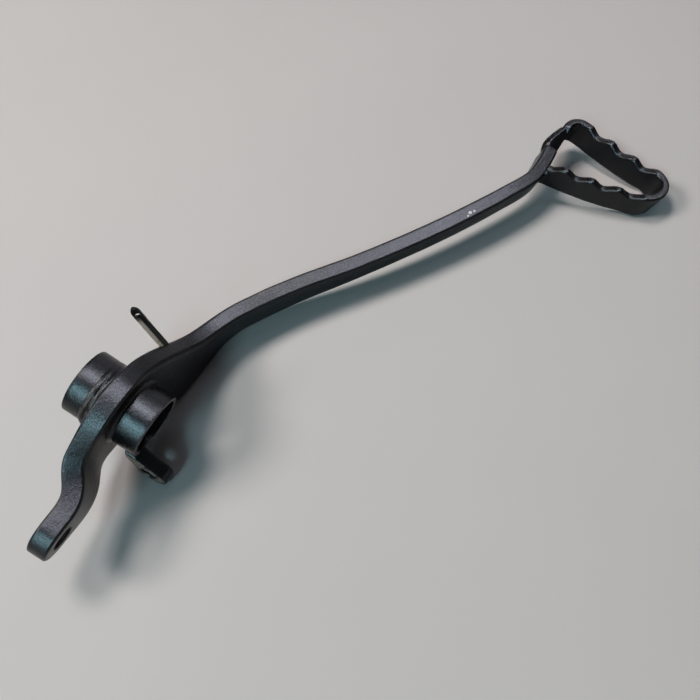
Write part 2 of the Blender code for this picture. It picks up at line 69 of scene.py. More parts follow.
# Plate that makes the lever, the eye, the neck and the arm
PLATE_THICKNESS = 9.0 * MM
ARM_THICKNESS = 7.8 * MM
LEVER_EDGE_RADIUS = 1.1 * MM
NECK_EDGE_RADIUS = 2.3 * MM
ARM_EDGE_RADIUS = 1.3 * MM
LEVER_EDGE_END_X = 2.0 * MM
NECK_EDGE_START_X = 30.0 * MM
ARM_END_ROUNDING = 4.0 * MM
ARM_END_DROP = 2.4 * MM
ARM_END_NARROWING = 1.4 * MM
THICKNESS_CHANGE = ((-80, 0), (30, 0), (75, 1), (150, 1), (200, 1.6), (240, 1.6))
PLATE_EDGE_STEPS = 6
PLATE_TOP_ROWS = 5
PLATE_SIDE_ROWS = 14
PLATE_STEP = 0.8 * MM
PLATE_EYE_STEP_DEG = 3
PLATE_ARM_STATIONS = 90
PLATE_END_STATIONS = 40
PLATE_FINE_STATIONS = 2400
PLATE_LEAST_HEIGHT = 4.0 * MM
EDGE_SOFTENING = 1.2 * MM

# Lever eye at the rear end
LEVER_EYE_X = -57.0 * MM
LEVER_EYE_Z = -6.0 * MM
LEVER_EYE_RADIUS = 11.0 * MM
PIN_HOLE_DIAMETER = 10.5 * MM
HOLE_EDGE = 0.6 * MM
HOLE_EDGE_STEPS = 5
HOLE_SIDES = 72
HOLE_FLARE_PAST = 1.02

# Middle of the plate seen from above: its arm, and before that its upper and its lower edge
ARM_PLAN = (
    (67.6, -13.9), (77, -19.2), (94.4, -31.0), (118.3, -49.7), (143.1, -67.2), (165.8, -81.4),
    (186.2, -92.5), (197, -97.7), (203.5, -99.7), (212, -100.1), (224, -99.6),
)
UPPER_PLAN = (
    (-72, -9.4), (-50, -9.4), (-44.5, -8.8), (-40.6, -7.1), (-37.4, -4.7), (-34.5, -2.3),
    (-31.2, -0.4), (-27, 0), (12, 0), (18, -0.6), (24, -1.6), (30, -2.8), (38, -4.8), (46, -7.0),
    (57, -9.9), *ARM_PLAN,
)
LOWER_PLAN = (
    (-72, -9.4), (-45, -9.4), (-41.7, -9.2), (-36.9, -8.2), (-32.7, -6.4), (-28.3, -3.6),
    (-23.4, -1.0), (-18, 0), (4, 0), (10, -2.0), (16, -6.0), (22, -9.2), (30, -10.5), (40, -10.7),
    (49, -10.9), (57, -11.4), *ARM_PLAN,
)

# Upper and lower edges of the plate seen from the side
UPPER_EDGE = (
    (-57, 5.0), (-48, 4.8), (-38, 5.6), (-31, 8.5), (-24, 14.5), (-17.7, 20.0), (-10, 23.3),
    (-3, 24.5), (3, 24.3), (8, 22.0), (14, 18.6), (22.6, 13.2), (30, 7.4), (38, 0.5), (46, -3.8),
    (56, -5.6), (68, -4.0), (86, 2.1), (106.6, 10.1), (130.5, 19.9), (156, 29.3), (175.5, 35.7),
    (194, 40.3), (224, 43.0),
)
LOWER_EDGE = (
    (-57, -17.0), (-48, -20.0), (-36, -20.6), (-28, -21.4), (-20, -24.2), (-12, -26.6), (0, -29.0),
    (12, -30.7), (24, -31.6), (42, -32.0), (54, -31.2), (66, -28.0), (75.6, -23.3), (93, -14.6),
    (105, -7.6), (128, 4.6), (154, 15.2), (174, 21.6), (192, 26.4), (224, 30.5),
)
NECK_END_X = 60.0 * MM
LOOP_BEND_X = 186.0 * MM
ARM_END_X = 224.0 * MM

# Foot loop, with its places along X measured from the arm's end
LOOP_THICKNESS = 4.0 * MM
LOOP_HEIGHT = 14.6 * MM
LOOP_EDGE = 1.1 * MM
LOOP_RISE_DEG = 13.5
LOOP_BASE_Z = 31.6 * MM
LOOP_START_Y = -100.9 * MM
LOOP_CORNER_X = ARM_END_X + 14.0 * MM
LOOP_CORNER_RADIUS = 6.2 * MM
LOOP_U_CENTRE = (ARM_END_X - 1.2 * MM, -147.4 * MM)
LOOP_U_HALF_WIDTH = 9.8 * MM
LOOP_U_DEPTH = 9.0 * MM
LOOP_FRONT_RUN = (
    (-147.4, 8.6), (-138, 10.4), (-128, 13.2), (-117, 16.9), (-112, 18.8), (-107.1, 20.2),
)
LOOP_REAR_RUN = ((-147.4, -11.0), (-136, -13.2), (-126, -14.6), (-115, -15.4), (-99, -15.7))
LOOP_REAR_END_Y = -100.5 * MM
LOOP_END_DROP = 3.0 * MM
LOOP_START_DROP = 4.0 * MM
LOOP_START_DROP_X = ARM_END_X + 4.0 * MM
LOOP_FRONT_DROP_X = (ARM_END_X + 8.5 * MM, ARM_END_X + 13.0 * MM)
LOOP_REAR_DROP_Y = (-104.5 * MM, -110.0 * MM)
TOOTH_PITCH = 13.2 * MM
TOOTH_DEPTH = 2.6 * MM
TOOTH_FIRST_Y = -117.3 * MM
TOOTH_COUNT = 3
LOOP_SOFTENING = 0.8 * MM
LOOP_START_SINK = 1.0 * MM
LOOP_REAR_END_SHORT = 2.4 * MM
LOOP_START_ROWS = 24
LOOP_CORNER_ROWS = 18
LOOP_FRONT_ROWS = 90
LOOP_U_ROWS = 40
LOOP_REAR_ROWS = 100

# Stop lug
LUG_REAR_X = -TUBE_OD / 2 - 0.5 * MM
LUG_THICKNESS = 7.4 * MM
LUG_HOLE_Y = -24.5 * MM
LUG_HOLE_Z = -20.5 * MM
LUG_END_RADIUS = 9.3 * MM
LUG_HOLE_DIAMETER = 9.0 * MM
LUG_EDGE = 1.5 * MM
LUG_EDGE_STEPS = 5
LUG_FIFTHS = (1.5, 2.5, 3.5)
LUG_INNER_Y = -TUBE_OUTBOARD + 5.5 * MM
LUG_UPPER_Z = -6.5 * MM
LUG_LOWER_Z = -13.0 * MM
LUG_ROUND_DEG = (-58, -222, -6)
LUG_POINT_GAP = 0.9 * MM

# Spring tab
TAB_FOOT = Vector((31.0, 0.2, 5.0)) * MM
TAB_TIP = Vector((28.9, 15.0, 31.0)) * MM
TAB_WIDTH = 4.0 * MM
TAB_THICKNESS = 2.2 * MM
TAB_TIP_THICKNESS = 1.6 * MM
TAB_TWIST_DEG = 40.0
TAB_TWIST_START = 0.15
TAB_TWIST_END = 0.75
TAB_TIP_ROUNDING = 3.4 * MM
TAB_HOLE_DIAMETER = 2.6 * MM
TAB_HOLE_FROM_TIP = 4.4 * MM
TAB_FOOT_SHARE = -0.04
TAB_ROWS = 50
TAB_EDGE = 0.45 * MM
TAB_CUTTER_HALF_LENGTH = 8 * MM
TAB_HOLE_SIDES = 40

# Weld collar and weld fillet round the tube
COLLAR_LENGTH = 6.3 * MM
COLLAR_HEIGHT = 2.4 * MM
COLLAR_HIGH_TURN = math.radians(205)
COLLAR_MEAN_SHARE = 0.54
COLLAR_SWING_SHARE = 0.40
COLLAR_RUNS = ((0.10, 0.34, 0.75), (0.42, 0.22, 0.62), (0.76, 0.24, 0.50))
COLLAR_WANDER = (0.05, 5 * MM, 1.0)
COLLAR_LUMPS = (0.16, 3.4 * MM, 2.0)
COLLAR_END_WAVES = (0.25 * MM, 4 * MM, 7.0)
COLLAR_ROWS = 40
COLLAR_SINK = 0.5 * MM
COLLAR_PAST = 0.3 * MM
WELD_SEGMENTS = 300
FILLET_LEG = 2.3 * MM
FILLET_WAVES = (0.16, 6 * MM, 21.0)
FILLET_LUMPS = (0.07 * MM, 2.2 * MM, 22.0)
FILLET_ROWS = 12
FILLET_SINK = 1.2 * MM

# Welds of the foot loop
FRONT_WELD_BACK = -5.0 * MM
FRONT_WELD_AHEAD = 13.5 * MM
FRONT_WELD_CREST = ((-5, 2.6), (0, 3.4), (5, 2.5), (10.5, 0.9), (13.5, 0.3))
FRONT_WELD_TOP = ((-5, 9.6), (-1, 11.0), (3, 11.9), (10, 13.3), (13.5, 14.3))
FRONT_WELD_INBOARD = 2.9 * MM
FRONT_WELD_INNER_FALL = 2.4 * MM
FRONT_WELD_OUTER_FALL = 3.4 * MM
FRONT_WELD_OVERLAP = 0.15 * MM
FRONT_WELD_SKIRT = 5.0 * MM
FRONT_WELD_STATIONS = 56
FRONT_WELD_TAPER = 5
FRONT_WELD_END_WIDTH = 0.25
FRONT_WELD_THINNING = 0.6
FRONT_WELD_STEEPNESS = 1.3
FRONT_WELD_LUMPS = ((0.20 * MM, 2.6 * MM, 41.0), (0.06 * MM, 1.0 * MM, 42.0))
REAR_WELD_RADIUS = 1.5 * MM
REAR_WELD_OFF = 0.1 * MM
REAR_WELD_TUCK = 0.3 * MM
REAR_WELD_LIFT = 1.0 * MM
REAR_WELD_BELOW_TOP = 2.2 * MM
REAR_WELD_SHOULDER = 1.2 * MM
REAR_WELD_CROWN = 1.0 * MM
REAR_WELD_ROWS = 22
REAR_WELD_TOP_ROWS = 12
BEAD_SEGMENTS = 20
BEAD_TIP_ROWS = 4
BEAD_TIP_SHARE = 0.15
BEAD_LUMPS = (0.18, 1.9 * MM, 51.0)
BEAD_RIPPLE = (0.06, 1.9)
BEAD_SIDEWAYS = Vector((0.3, 0.2, 0.93))

# Waves left by forging, grinding and thick paint, each as height, length and seed
FINE_WAVE_SHARE = 0.4
FINE_WAVE_RATIO = 3
ARM_WAVES = (0.07 * MM, 9 * MM, 3.0)
TUBE_WAVES = (0.04 * MM, 6 * MM, 11.0)
LOOP_WAVES = (0.05 * MM, 5 * MM, 31.0)
LUG_WAVES = (0.05 * MM, 4 * MM, 61.0)
TAB_WAVES = (0.04 * MM, 3 * MM, 71.0)

# Paint, where it is worn and where light is painted on it
PAINT_GLOSS = 0.24
PAINT_BASE = (0.0062, 0.0060, 0.0074)
PAINT_SHADES = (0.8, 1.35)
PAINT_DRIFT_SCALE = 90.0
PAINT_FINE_SCALE = 1900.0
PAINT_COARSE_SCALE = 520.0
PAINT_COARSE_SHARE = 1.2
PAINT_BUMP = 0.1 * MM
CHIPS = (
    (Vector((165.6, -82.1, 32.4)) * MM, 0.65 * MM),
    (Vector((167.3, -83.4, 32.9)) * MM, 0.5 * MM),
    (Vector((163.6, -82.2, 31.8)) * MM, 0.45 * MM),
)
SCRATCH_PLACES = (
    (Vector((81.0, -19.0, 0.4)) * MM, 5.0 * MM),
    (Vector((40.0, -8.5, -1.0)) * MM, 6.0 * MM),
)
COLLAR_WEAR_PLACE = Vector((-12.0, 7.5, 11.0)) * MM
UPWARD_FACE = (0.70, 0.95)
SPECK_SHARE = 0.8
CHIP_SPREAD = 3
CHIP_GRAIN = (900.0, 4.0, 0.7)
CHIP_EDGE = (0.25, 0.31)
SCRATCH_TURN_DEG = 28
SCRATCH_STRETCH = (220, 3200, 220)
SCRATCH_CORE = 0.3
SCRATCH_SHARE = 0.7
SCRATCH_LINE = (0.60, 0.70)
# Band along the outboard rim where the paint is rubbed and where a highlight is painted
RIM_WEAR_AND_HIGHLIGHT = (0.10 * MM, 0.50 * MM)
RIM_SHARE = 0.8
COLLAR_WEAR_REACH = (3 * MM, 6 * MM)
TOOTH_WEAR = (-1.4 * MM, -0.4 * MM)
LUG_WEAR = (0.1 * MM, 0.9 * MM)
TAB_WEAR = (-0.9 * MM, -0.3 * MM)
TAB_WEAR_END = (TAB_TIP.z - 9 * MM, TAB_TIP.z - 4 * MM)
RUBBED_SMOOTH = 0.45

# Patches of wear and of painted light, each as its noise's scale and where in it a patch starts and is
# full
SPECK_PATCHES = (1500, 0.44, 0.64)
RIM_PATCHES = (260, 0.25, 0.55)
COLLAR_PATCHES = (420, 0.40, 0.62)
LUG_PATCHES = (330, 0.42, 0.60)
TAB_PATCHES = (500, 0.20, 0.42)

# Worn paint and painted light, each kind as a colour and a roughness
SCRATCH_COLOUR = (0.16, 0.15, 0.15)
# Pale specks on the arm's upward faces: partly dust, partly a painted sheen that mottles the lit tops
SPECKS_AND_SHEEN = ((0.040, 0.040, 0.050), 0.34)
CHIPPED = ((0.62, 0.60, 0.58), 0.55)
SCRATCHED = (SCRATCH_COLOUR, 0.42)
# Pale rim line: partly rubbed paint, partly a painted highlight along the tube's outboard edge
RIM_RUBBED_AND_HIGHLIT = (SCRATCH_COLOUR, 0.45)
BROWNED = ((0.060, 0.046, 0.038), 0.5)
LUG_RUBBED = ((0.27, 0.235, 0.20), 0.55)
BARE = ((0.92, 0.72, 0.60), 0.5)

# Floor and light
FLOOR_HALF_SIZE = 3.0
FLOOR_DARK = (0.47, 0.445, 0.435)
FLOOR_LIGHT = (0.51, 0.485, 0.475)
WORLD_COLOUR = (1.0, 0.98, 0.98, 1.0)
WORLD_STRENGTH = 0.04
WARM_LIGHT = (1.0, 0.96, 0.935)
COOL_LIGHT = (0.86, 0.88, 1.0)
LAMP_DISTANCE = 1.6
PANEL_ALONG = (0.91, -0.41, 0)

# Camera, as places and directions in the pedal's own axes
CAMERA_PLACE = Vector((-61.406, -63.107, 307.867)) * MM
CAMERA_RIGHT = Vector((0.494, -0.833, 0.249))
CAMERA_DOWN = Vector((-0.760, -0.553, -0.342))
CAMERA_LENS = 36.0
CAMERA_SENSOR = 36.0
CAMERA_CLIP_START = 0.01


def smooth_line(points, at):
    """Values of a curve without overshoot through the points, whose sizes are in millimetres."""
    x = np.array([p[0] for p in points], float)
    y = np.array([p[1] for p in points], float)
    step = np.diff(x)
    rise = np.diff(y) / step
    slope = np.zeros(len(x))
    for i in range(1, len(x) - 1):
        if rise[i - 1] * rise[i] > 0:
            before = 2 * step[i] + step[i - 1]
            after = step[i] + 2 * step[i - 1]
            slope[i] = (before + after) / (before / rise[i - 1] + after / rise[i])
    slope[-1] = rise[-1]
    at = np.clip(np.asarray(at, float), x[0], x[-1])
    i = np.clip(np.searchsorted(x, at, side="right") - 1, 0, len(step) - 1)
    t = (at - x[i]) / step[i]
    keep = (1 + 2 * t) * (1 - t) ** 2 * y[i] + (3 - 2 * t) * t * t * y[i + 1]
    bend = t * (1 - t) ** 2 * slope[i] - t * t * (1 - t) * slope[i + 1]
    return keep + bend * step[i]


def millimetres(points, at):
    """The same for places and values in metres."""
    return smooth_line(points, np.asarray(at) / MM) * MM


def softened(points, at, reach):
    """The curve averaged over a short reach each way, so that its bends run on without creases."""
    at = np.asarray(at, float)
    weights = (1, 2, 3, 2, 1)
    total = sum(w * millimetres(points, at + k * reach) for k, w in zip(range(-2, 3), weights))
    return total / sum(weights)


def eased(value, start, end):
    """0 at the start and 1 at the end, with a smooth change between."""
    share = min(max((value - start) / (end - start), 0.0), 1.0)
    return share * share * (3 - 2 * share)


def wave(point, size, seed):
    """Smooth noise from about -1 to 1 at a point, with lumps of about that size."""
    place = Vector(point) / size + Vector((seed, seed * 1.7, seed * 2.3))
    return noise.noise(place)


def swell(point, kind):
    """Smooth noise of a kind that gives its height, the size of its lumps and its seed."""
    height, size, seed = kind
    return height * wave(point, size, seed)


def resting_place():
    """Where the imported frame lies: its tube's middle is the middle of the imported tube's points."""
    turn = Matrix.Rotation(math.radians(REST_PITCH_DEG), 4, "Y")
    turn = turn @ Matrix.Rotation(math.radians(REST_ROLL_DEG), 4, "X")
    points = [v.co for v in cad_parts["pivot_tube"].data.vertices]
    tube_middle = sum(points, Vector()) / len(points)
    own_middle = Vector((0, (TUBE_INBOARD - TUBE_OUTBOARD) / 2, 0))
    return Matrix.Translation(tube_middle - turn @ own_middle) @ turn


def new_object(name, data):
    """An object in the scene from mesh data, with its faces turned outward."""
    mesh = bpy.data.meshes.new(name)
    bmesh.ops.remove_doubles(data, verts=data.verts, dist=0.002 * MM)
    bmesh.ops.recalc_face_normals(data, faces=data.faces)
    data.to_mesh(mesh)
    data.free()
    obj = bpy.data.objects.new(name, mesh)
    bpy.context.scene.collection.objects.link(obj)
    return obj


def mesh_object(name, points, faces):
    """An object from points and from faces that list their points by number."""
    data = bmesh.new()
    verts = [data.verts.new(p) for p in points]
    for face in faces:
        data.faces.new([verts[i] for i in face])
    return new_object(name, data)


def tube_of_loops(name, loops, closed=False):
    """A solid through loops of equally many points, capped unless it closes on itself."""
    count = len(loops[0])
    points = [tuple(p) for loop in loops for p in loop]
    faces = []
    spans = len(loops) if closed else len(loops) - 1
    for i in range(spans):
        after = (i + 1) % len(loops)
        for j in range(count):
            k = (j + 1) % count
            faces.append((i * count + j, i * count + k, after * count + k, after * count + j))
    if not closed:
        last = (len(loops) - 1) * count
        faces.append(tuple(range(count))[::-1])
        faces.append(tuple(range(last, last + count)))
    return mesh_object(name, points, faces)


def about_y(profile_at, segments=TUBE_SEGMENTS):
    """Loops of points about the tube's axis, from the (y, radius) points at each angle."""
    loops = []
    for i in range(segments):
        turn = 2 * math.pi * i / segments
        loops.append([
            (radius * math.cos(turn), y, radius * math.sin(turn)) for y, radius in profile_at(turn)
        ])
    return loops


def cutter(name, centre, direction, radius, half_length, flare=0.0, faces_at=0.0, sides=HOLE_SIDES):
    """A hidden round cutter, wider by the flare at two faces that lie faces_at from its middle."""
    turn = Vector(direction).to_track_quat("Z", "Y").to_matrix()
    stations = [(-half_length, radius), (half_length, radius)]
    if flare:
        widest = radius + flare * HOLE_FLARE_PAST
        stations = [(-half_length, widest)]
        for side in (-1, 1):
            steps = [k / HOLE_EDGE_STEPS for k in range(HOLE_EDGE_STEPS + 1)]
            bow = [(faces_at - flare * s, flare * (1 - math.sqrt(1 - (1 - s) ** 2))) for s in steps]
            part = [(side * z, radius + wide) for z, wide in bow]
            stations += part if side < 0 else part[::-1]
        stations.append((half_length, widest))
    loops = []
    for z, reach in stations:
        loop = []
        for i in range(sides):
            angle = 2 * math.pi * i / sides
            local = Vector((reach * math.cos(angle), reach * math.sin(angle), z))
            loop.append(Vector(centre) + turn @ local)
        loops.append(loop)
    obj = tube_of_loops(name, loops)
    obj.hide_render = True
    obj.display_type = "WIRE"
    return obj


def cut(obj, tool):
    """Cuts the tool out of the object and removes the tool."""
    modifier = obj.modifiers.new("cut", "BOOLEAN")
    modifier.operation = "DIFFERENCE"
    modifier.solver = "EXACT"
    modifier.object = tool
    graph = bpy.context.evaluated_depsgraph_get()
    mesh = bpy.data.meshes.new_from_object(obj.evaluated_get(graph))
    obj.modifiers.clear()
    obj.data = mesh
    bpy.data.objects.remove(tool)


def roughened(obj, amount, size, seed):
    """Moves each point a little along its normal, in long waves with finer ones on them."""
    mesh = obj.data
    places = []
    for vertex in mesh.vertices:
        fine = FINE_WAVE_SHARE * wave(vertex.co, size / FINE_WAVE_RATIO, seed + 5)
        places.append(vertex.co + vertex.normal * amount * (wave(vertex.co, size, seed) + fine))
    for vertex, place in zip(mesh.vertices, places):
        vertex.co = place
    mesh.update()


def finished(obj, material, nodes):
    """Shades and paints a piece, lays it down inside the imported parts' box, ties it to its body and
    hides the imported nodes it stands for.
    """
    obj.data.materials.clear()
    obj.data.materials.append(material)
    obj.data.shade_smooth()
    obj.data.set_sharp_from_angle(angle=math.radians(SHARP_DEG))
    obj.data.transform(REST)
    low, high = cad_box
    for vertex in obj.data.vertices:
        for axis in range(3):
            inside = max(vertex.co[axis], low[axis] + BOX_GAP)
            vertex.co[axis] = min(inside, high[axis] - BOX_GAP)
    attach(obj, BODY)
    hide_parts(*nodes)


# The plate


def plate_stations():
    """The X of each station of the plate, closest together where its form changes fast."""
    angles = [math.radians(a) for a in range(0, 90, PLATE_EYE_STEP_DEG)]
    tip = [LEVER_EYE_X - LEVER_EYE_RADIUS * math.cos(a) for a in angles]
    body = np.arange(LEVER_EYE_X, NECK_END_X, PLATE_STEP)
    arm_part = np.linspace(NECK_END_X, LOOP_BEND_X, PLATE_ARM_STATIONS)
    end = np.linspace(LOOP_BEND_X, ARM_END_X, PLATE_END_STATIONS)[1:]
    return np.concatenate([tip, body, arm_part, end])


def plate_edges(x):
    """Upper and lower edge heights of the plate at each X."""
    reach = np.sqrt(np.clip(LEVER_EYE_RADIUS**2 - (x - LEVER_EYE_X) ** 2, 0, None))
    in_eye = x < LEVER_EYE_X
    top = np.where(in_eye, LEVER_EYE_Z + reach, softened(UPPER_EDGE, x, EDGE_SOFTENING))
    bottom = np.where(in_eye, LEVER_EYE_Z - reach, softened(LOWER_EDGE, x, EDGE_SOFTENING))
    return top, bottom


def outward(along, height, side):
    """Unit vectors that point out of the plate's outline, from its distance and height."""
    run = np.gradient(along)
    rise = np.gradient(height)
    size = np.hypot(run, rise)
    return -rise / size * side, run / size * side


def plate_line(first_x, last_x):
    """The plate's course in fine steps: distance along it, place, direction, slant and edges."""
    x = np.linspace(first_x, last_x, PLATE_FINE_STATIONS)
    upper = softened(UPPER_PLAN, x, EDGE_SOFTENING)
    lower = softened(LOWER_PLAN, x, EDGE_SOFTENING)
    y = (upper + lower) / 2
    s = np.concatenate([[0], np.cumsum(np.hypot(np.diff(x), np.diff(y)))])
    top, bottom = plate_edges(x)
    return {
        "s": s, "x": x, "y": y, "dx": np.gradient(x, s), "dy": np.gradient(y, s),
        "slant": upper - lower, "top": top, "bottom": bottom,
    }


def placed_on(line, along, height, offset):
    """Points at a distance along the plate, at a height and at an offset from its middle."""

    def at(name):
        return np.interp(along, line["s"], line[name])

    tall = np.maximum(at("top") - at("bottom"), PLATE_LEAST_HEIGHT)
    share_up = (height - at("bottom")) / tall
    beyond = np.minimum(along, 0) + np.maximum(along - line["s"][-1], 0)
    x = at("x") - offset * at("dy") + beyond
    y = at("y") + offset * at("dx") + at("slant") * (share_up - 0.5)
    return np.stack([x, y, height], axis=1)


def plate_section(x):
    """Edge heights, half thickness and edge radius of the plate, rounded off at the arm's end."""
    top, bottom = plate_edges(x)
    share = smooth_line(THICKNESS_CHANGE, x / MM)
    past = np.clip((x - ARM_END_X) / ARM_END_ROUNDING + 1, 0, 1)
    end_bow = 1 - np.sqrt(1 - past**2)
    half = (PLATE_THICKNESS + (ARM_THICKNESS - PLATE_THICKNESS) * share) / 2
    rounding = np.array([eased(at, LEVER_EDGE_END_X, NECK_EDGE_START_X) for at in x])
    radius = LEVER_EDGE_RADIUS + (NECK_EDGE_RADIUS - LEVER_EDGE_RADIUS) * rounding
    radius = radius + (ARM_EDGE_RADIUS - radius) * np.minimum(share, 1)
    return top - ARM_END_DROP * end_bow, bottom, half - ARM_END_NARROWING * end_bow, radius


def edge_rows(s, height, side, half, radius):
    """Rows of points over one edge of the plate: round its two corners and across between them."""
    out_s, out_z = outward(s, height, side)
    out_s[0], out_z[0] = -1.0, 0.0
    out_s[-1], out_z[-1] = 0.0, side
    quarter = [math.radians(90.0 * k / PLATE_EDGE_STEPS) for k in range(PLATE_EDGE_STEPS + 1)]
    corners = []
    for face_side in (1, -1):
        corner = []
        for turn in quarter if face_side > 0 else quarter[::-1]:
            move = (1 - math.sin(turn)) * radius
            offset = face_side * (half - radius + radius * math.cos(turn))
            corner.append((s - out_s * move, height - out_z * move, offset))
        corners.append(corner)
    first, second = corners
    for k in range(1, PLATE_TOP_ROWS):
        blend = k / PLATE_TOP_ROWS
        first.append((s, height, first[-1][2] * (1 - blend) + second[0][2] * blend))
    return first + second


def plate():
    """The whole plate as one solid through its stations, before it is drilled."""
    x = plate_stations()
    line = plate_line(x[0], x[-1])
    s = np.interp(x, line["x"], line["s"])
    top, bottom, half, radius = plate_section(x)
    upper = edge_rows(s, top, 1.0, half, radius)
    lower = edge_rows(s, bottom, -1.0, half, radius)
    sides = []
    for start, end in ((upper[-1], lower[-1]), (lower[0], upper[0])):
        side = []
        for k in range(1, PLATE_SIDE_ROWS):
            blend = k / PLATE_SIDE_ROWS
            side.append(tuple(a * (1 - blend) + b * blend for a, b in zip(start, end)))
        sides.append(side)
    rows = upper + sides[0] + lower[::-1] + sides[1]
    grid = np.stack([placed_on(line, *row) for row in rows], axis=1)
    return tube_of_loops("arm", list(grid))


def arm():
    """The plate with its pin hole and with room for the pivot tube."""
    obj = plate()
    pin_y = float(millimetres(UPPER_PLAN, LEVER_EYE_X))
    pin = cutter(
        "pin cutter", (LEVER_EYE_X, pin_y, LEVER_EYE_Z), (0, 1, 0), PIN_HOLE_DIAMETER / 2,
        PLATE_THICKNESS, HOLE_EDGE, PLATE_THICKNESS / 2,
    )
    cut(obj, pin)
    bore = cutter("bore cutter", (0, 0, 0), (0, 1, 0), WELDED_RADIUS, TUBE_OD)
    cut(obj, bore)
    roughened(obj, *ARM_WAVES)
    return obj


# The pivot tube and its welds


def tube_profile():
    """The (y, radius) points round the tube's wall, with its rims and mouths rounded."""
    outer = TUBE_OD / 2
    inner = outer - TUBE_WALL
    low = -TUBE_OUTBOARD
    high = TUBE_INBOARD
    rim = []
    for degrees in (90, 67.5, 45, 22.5, 0):
        turn = math.radians(degrees)
        rim.append((TUBE_EDGE * (1 - math.sin(turn)), outer - TUBE_EDGE * (1 - math.cos(turn))))
    mouth = []
    for degrees in (15, 40, 65, 90):
        turn = math.radians(degrees)
        mouth.append((1 - math.cos(turn), 1 - math.sin(turn)))
    mouth = [(TUBE_MOUTH_EDGE * y, inner + TUBE_MOUTH_EDGE * out) for y, out in mouth]
    outside = np.linspace(low + TUBE_EDGE, high - TUBE_EDGE, TUBE_ROWS)[1:-1]
    inside = np.linspace(high - TUBE_MOUTH_EDGE, low + TUBE_MOUTH_EDGE, BORE_ROWS)[1:-1]
    profile = [(low + y, radius) for y, radius in mouth[::-1]]
    profile.append((low, inner + TUBE_MOUTH_EDGE))
    profile += [(low + y, radius) for y, radius in rim]
    profile += [(y, outer) for y in outside]
    profile += [(high - y, radius) for y, radius in rim[::-1]]
    profile.append((high, inner + TUBE_MOUTH_EDGE))
    profile += [(high - y, radius) for y, radius in mouth]
    profile += [(y, inner) for y in inside]
    return profile


def pivot_tube():
    """The tube's wall, turned about its axis."""
    profile = tube_profile()
    obj = tube_of_loops("tube", about_y(lambda turn: profile), closed=True)
    roughened(obj, *TUBE_WAVES)
    return obj


def tube_weld_inboard():
    """Three overlapping runs of weld round the tube, higher at the rear and below than above."""
    start = PLATE_THICKNESS / 2 - COLLAR_SINK
    length = COLLAR_LENGTH + COLLAR_SINK + COLLAR_PAST

    def profile_at(turn):
        across = Vector((math.cos(turn), 0, math.sin(turn))) * TUBE_OD / 2
        swing = COLLAR_SWING_SHARE * math.cos(turn - COLLAR_HIGH_TURN)
        height = COLLAR_HEIGHT * (COLLAR_MEAN_SHARE + swing)
        points = [(start, WELDED_RADIUS)]
        for k in range(COLLAR_ROWS):
            t = k / (COLLAR_ROWS - 1)
            wander = swell(across, COLLAR_WANDER)
            rise = 0.0
            for middle, reach, share in COLLAR_RUNS:
                away = abs(t - middle - wander) / reach
                if away < 1:
                    rise = max(rise, share * (1 - away**1.6) ** 0.75)
            lump = 1 + swell(across + Vector((0, t * 6 * MM, 0)), COLLAR_LUMPS)
            y = start + length * t + swell(across, COLLAR_END_WAVES) * t
            points.append((y, TUBE_OD / 2 - 0.15 * MM + (0.1 * MM + height) * rise * lump))
        points.append((start + length + COLLAR_PAST, WELDED_RADIUS))
        return points

    return tube_of_loops("weld_inboard", about_y(profile_at, WELD_SEGMENTS), closed=True)


def plate_outboard_face(x, z):
    """Y of the plate's outboard face beside the tube, which leans out where the neck begins."""
    ahead = x + 1 * MM
    top, bottom = plate_edges(np.array([x]))
    share_up = (z - bottom[0]) / (top[0] - bottom[0])

    def middle(at):
        lower = softened(LOWER_PLAN, at, EDGE_SOFTENING)
        return lower + (softened(UPPER_PLAN, at, EDGE_SOFTENING) - lower) * share_up

    slope = (middle(ahead) - middle(x)) / (ahead - x)
    return float(middle(x) - PLATE_THICKNESS / 2 * math.hypot(1, slope))


def tube_weld_outboard():
    """A smooth fillet round the tube that follows the plate's outboard face."""

    def profile_at(turn):
        across = Vector((math.cos(turn), 0, math.sin(turn))) * TUBE_OD / 2
        beside = across * (1 + FILLET_LEG / TUBE_OD)
        face = plate_outboard_face(beside.x, beside.z)
        leg = FILLET_LEG * (1 + swell(across, FILLET_WAVES))
        sunk = face + FILLET_SINK
        points = [(sunk, WELDED_RADIUS), (sunk, TUBE_OD / 2 + leg)]
        for k in range(FILLET_ROWS + 1):
            angle = math.radians(90 * k / FILLET_ROWS)
            lump = swell(across + Vector((0, k * 0.4 * MM, 0)), FILLET_LUMPS)
            depth = leg * (1 - math.cos(angle)) + lump
            radius = TUBE_OD / 2 + leg * (1 - math.sin(angle)) - 0.05 * MM
            points.append((face - depth + 0.1 * MM, radius))
        points.append((face - leg - 0.2 * MM, WELDED_RADIUS))
        return points

    return tube_of_loops("weld_outboard", about_y(profile_at, WELD_SEGMENTS), closed=True)


# The foot loop and its welds


def run_x(run, y):
    """X of the foot loop's front or rear run at this Y."""
    return ARM_END_X + float(softened(run, y, LOOP_SOFTENING))


def tooth_drop(y):
    """How far the toothed edge sinks below its full height at this Y."""
    drop = 0.0
    for k in range(TOOTH_COUNT):
        away = abs(y - (TOOTH_FIRST_Y - k * TOOTH_PITCH)) / (TOOTH_PITCH / 2)
        if away < 1:
            drop = max(drop, (1 + math.cos(math.pi * away)) / 2)
    return drop * TOOTH_DEPTH


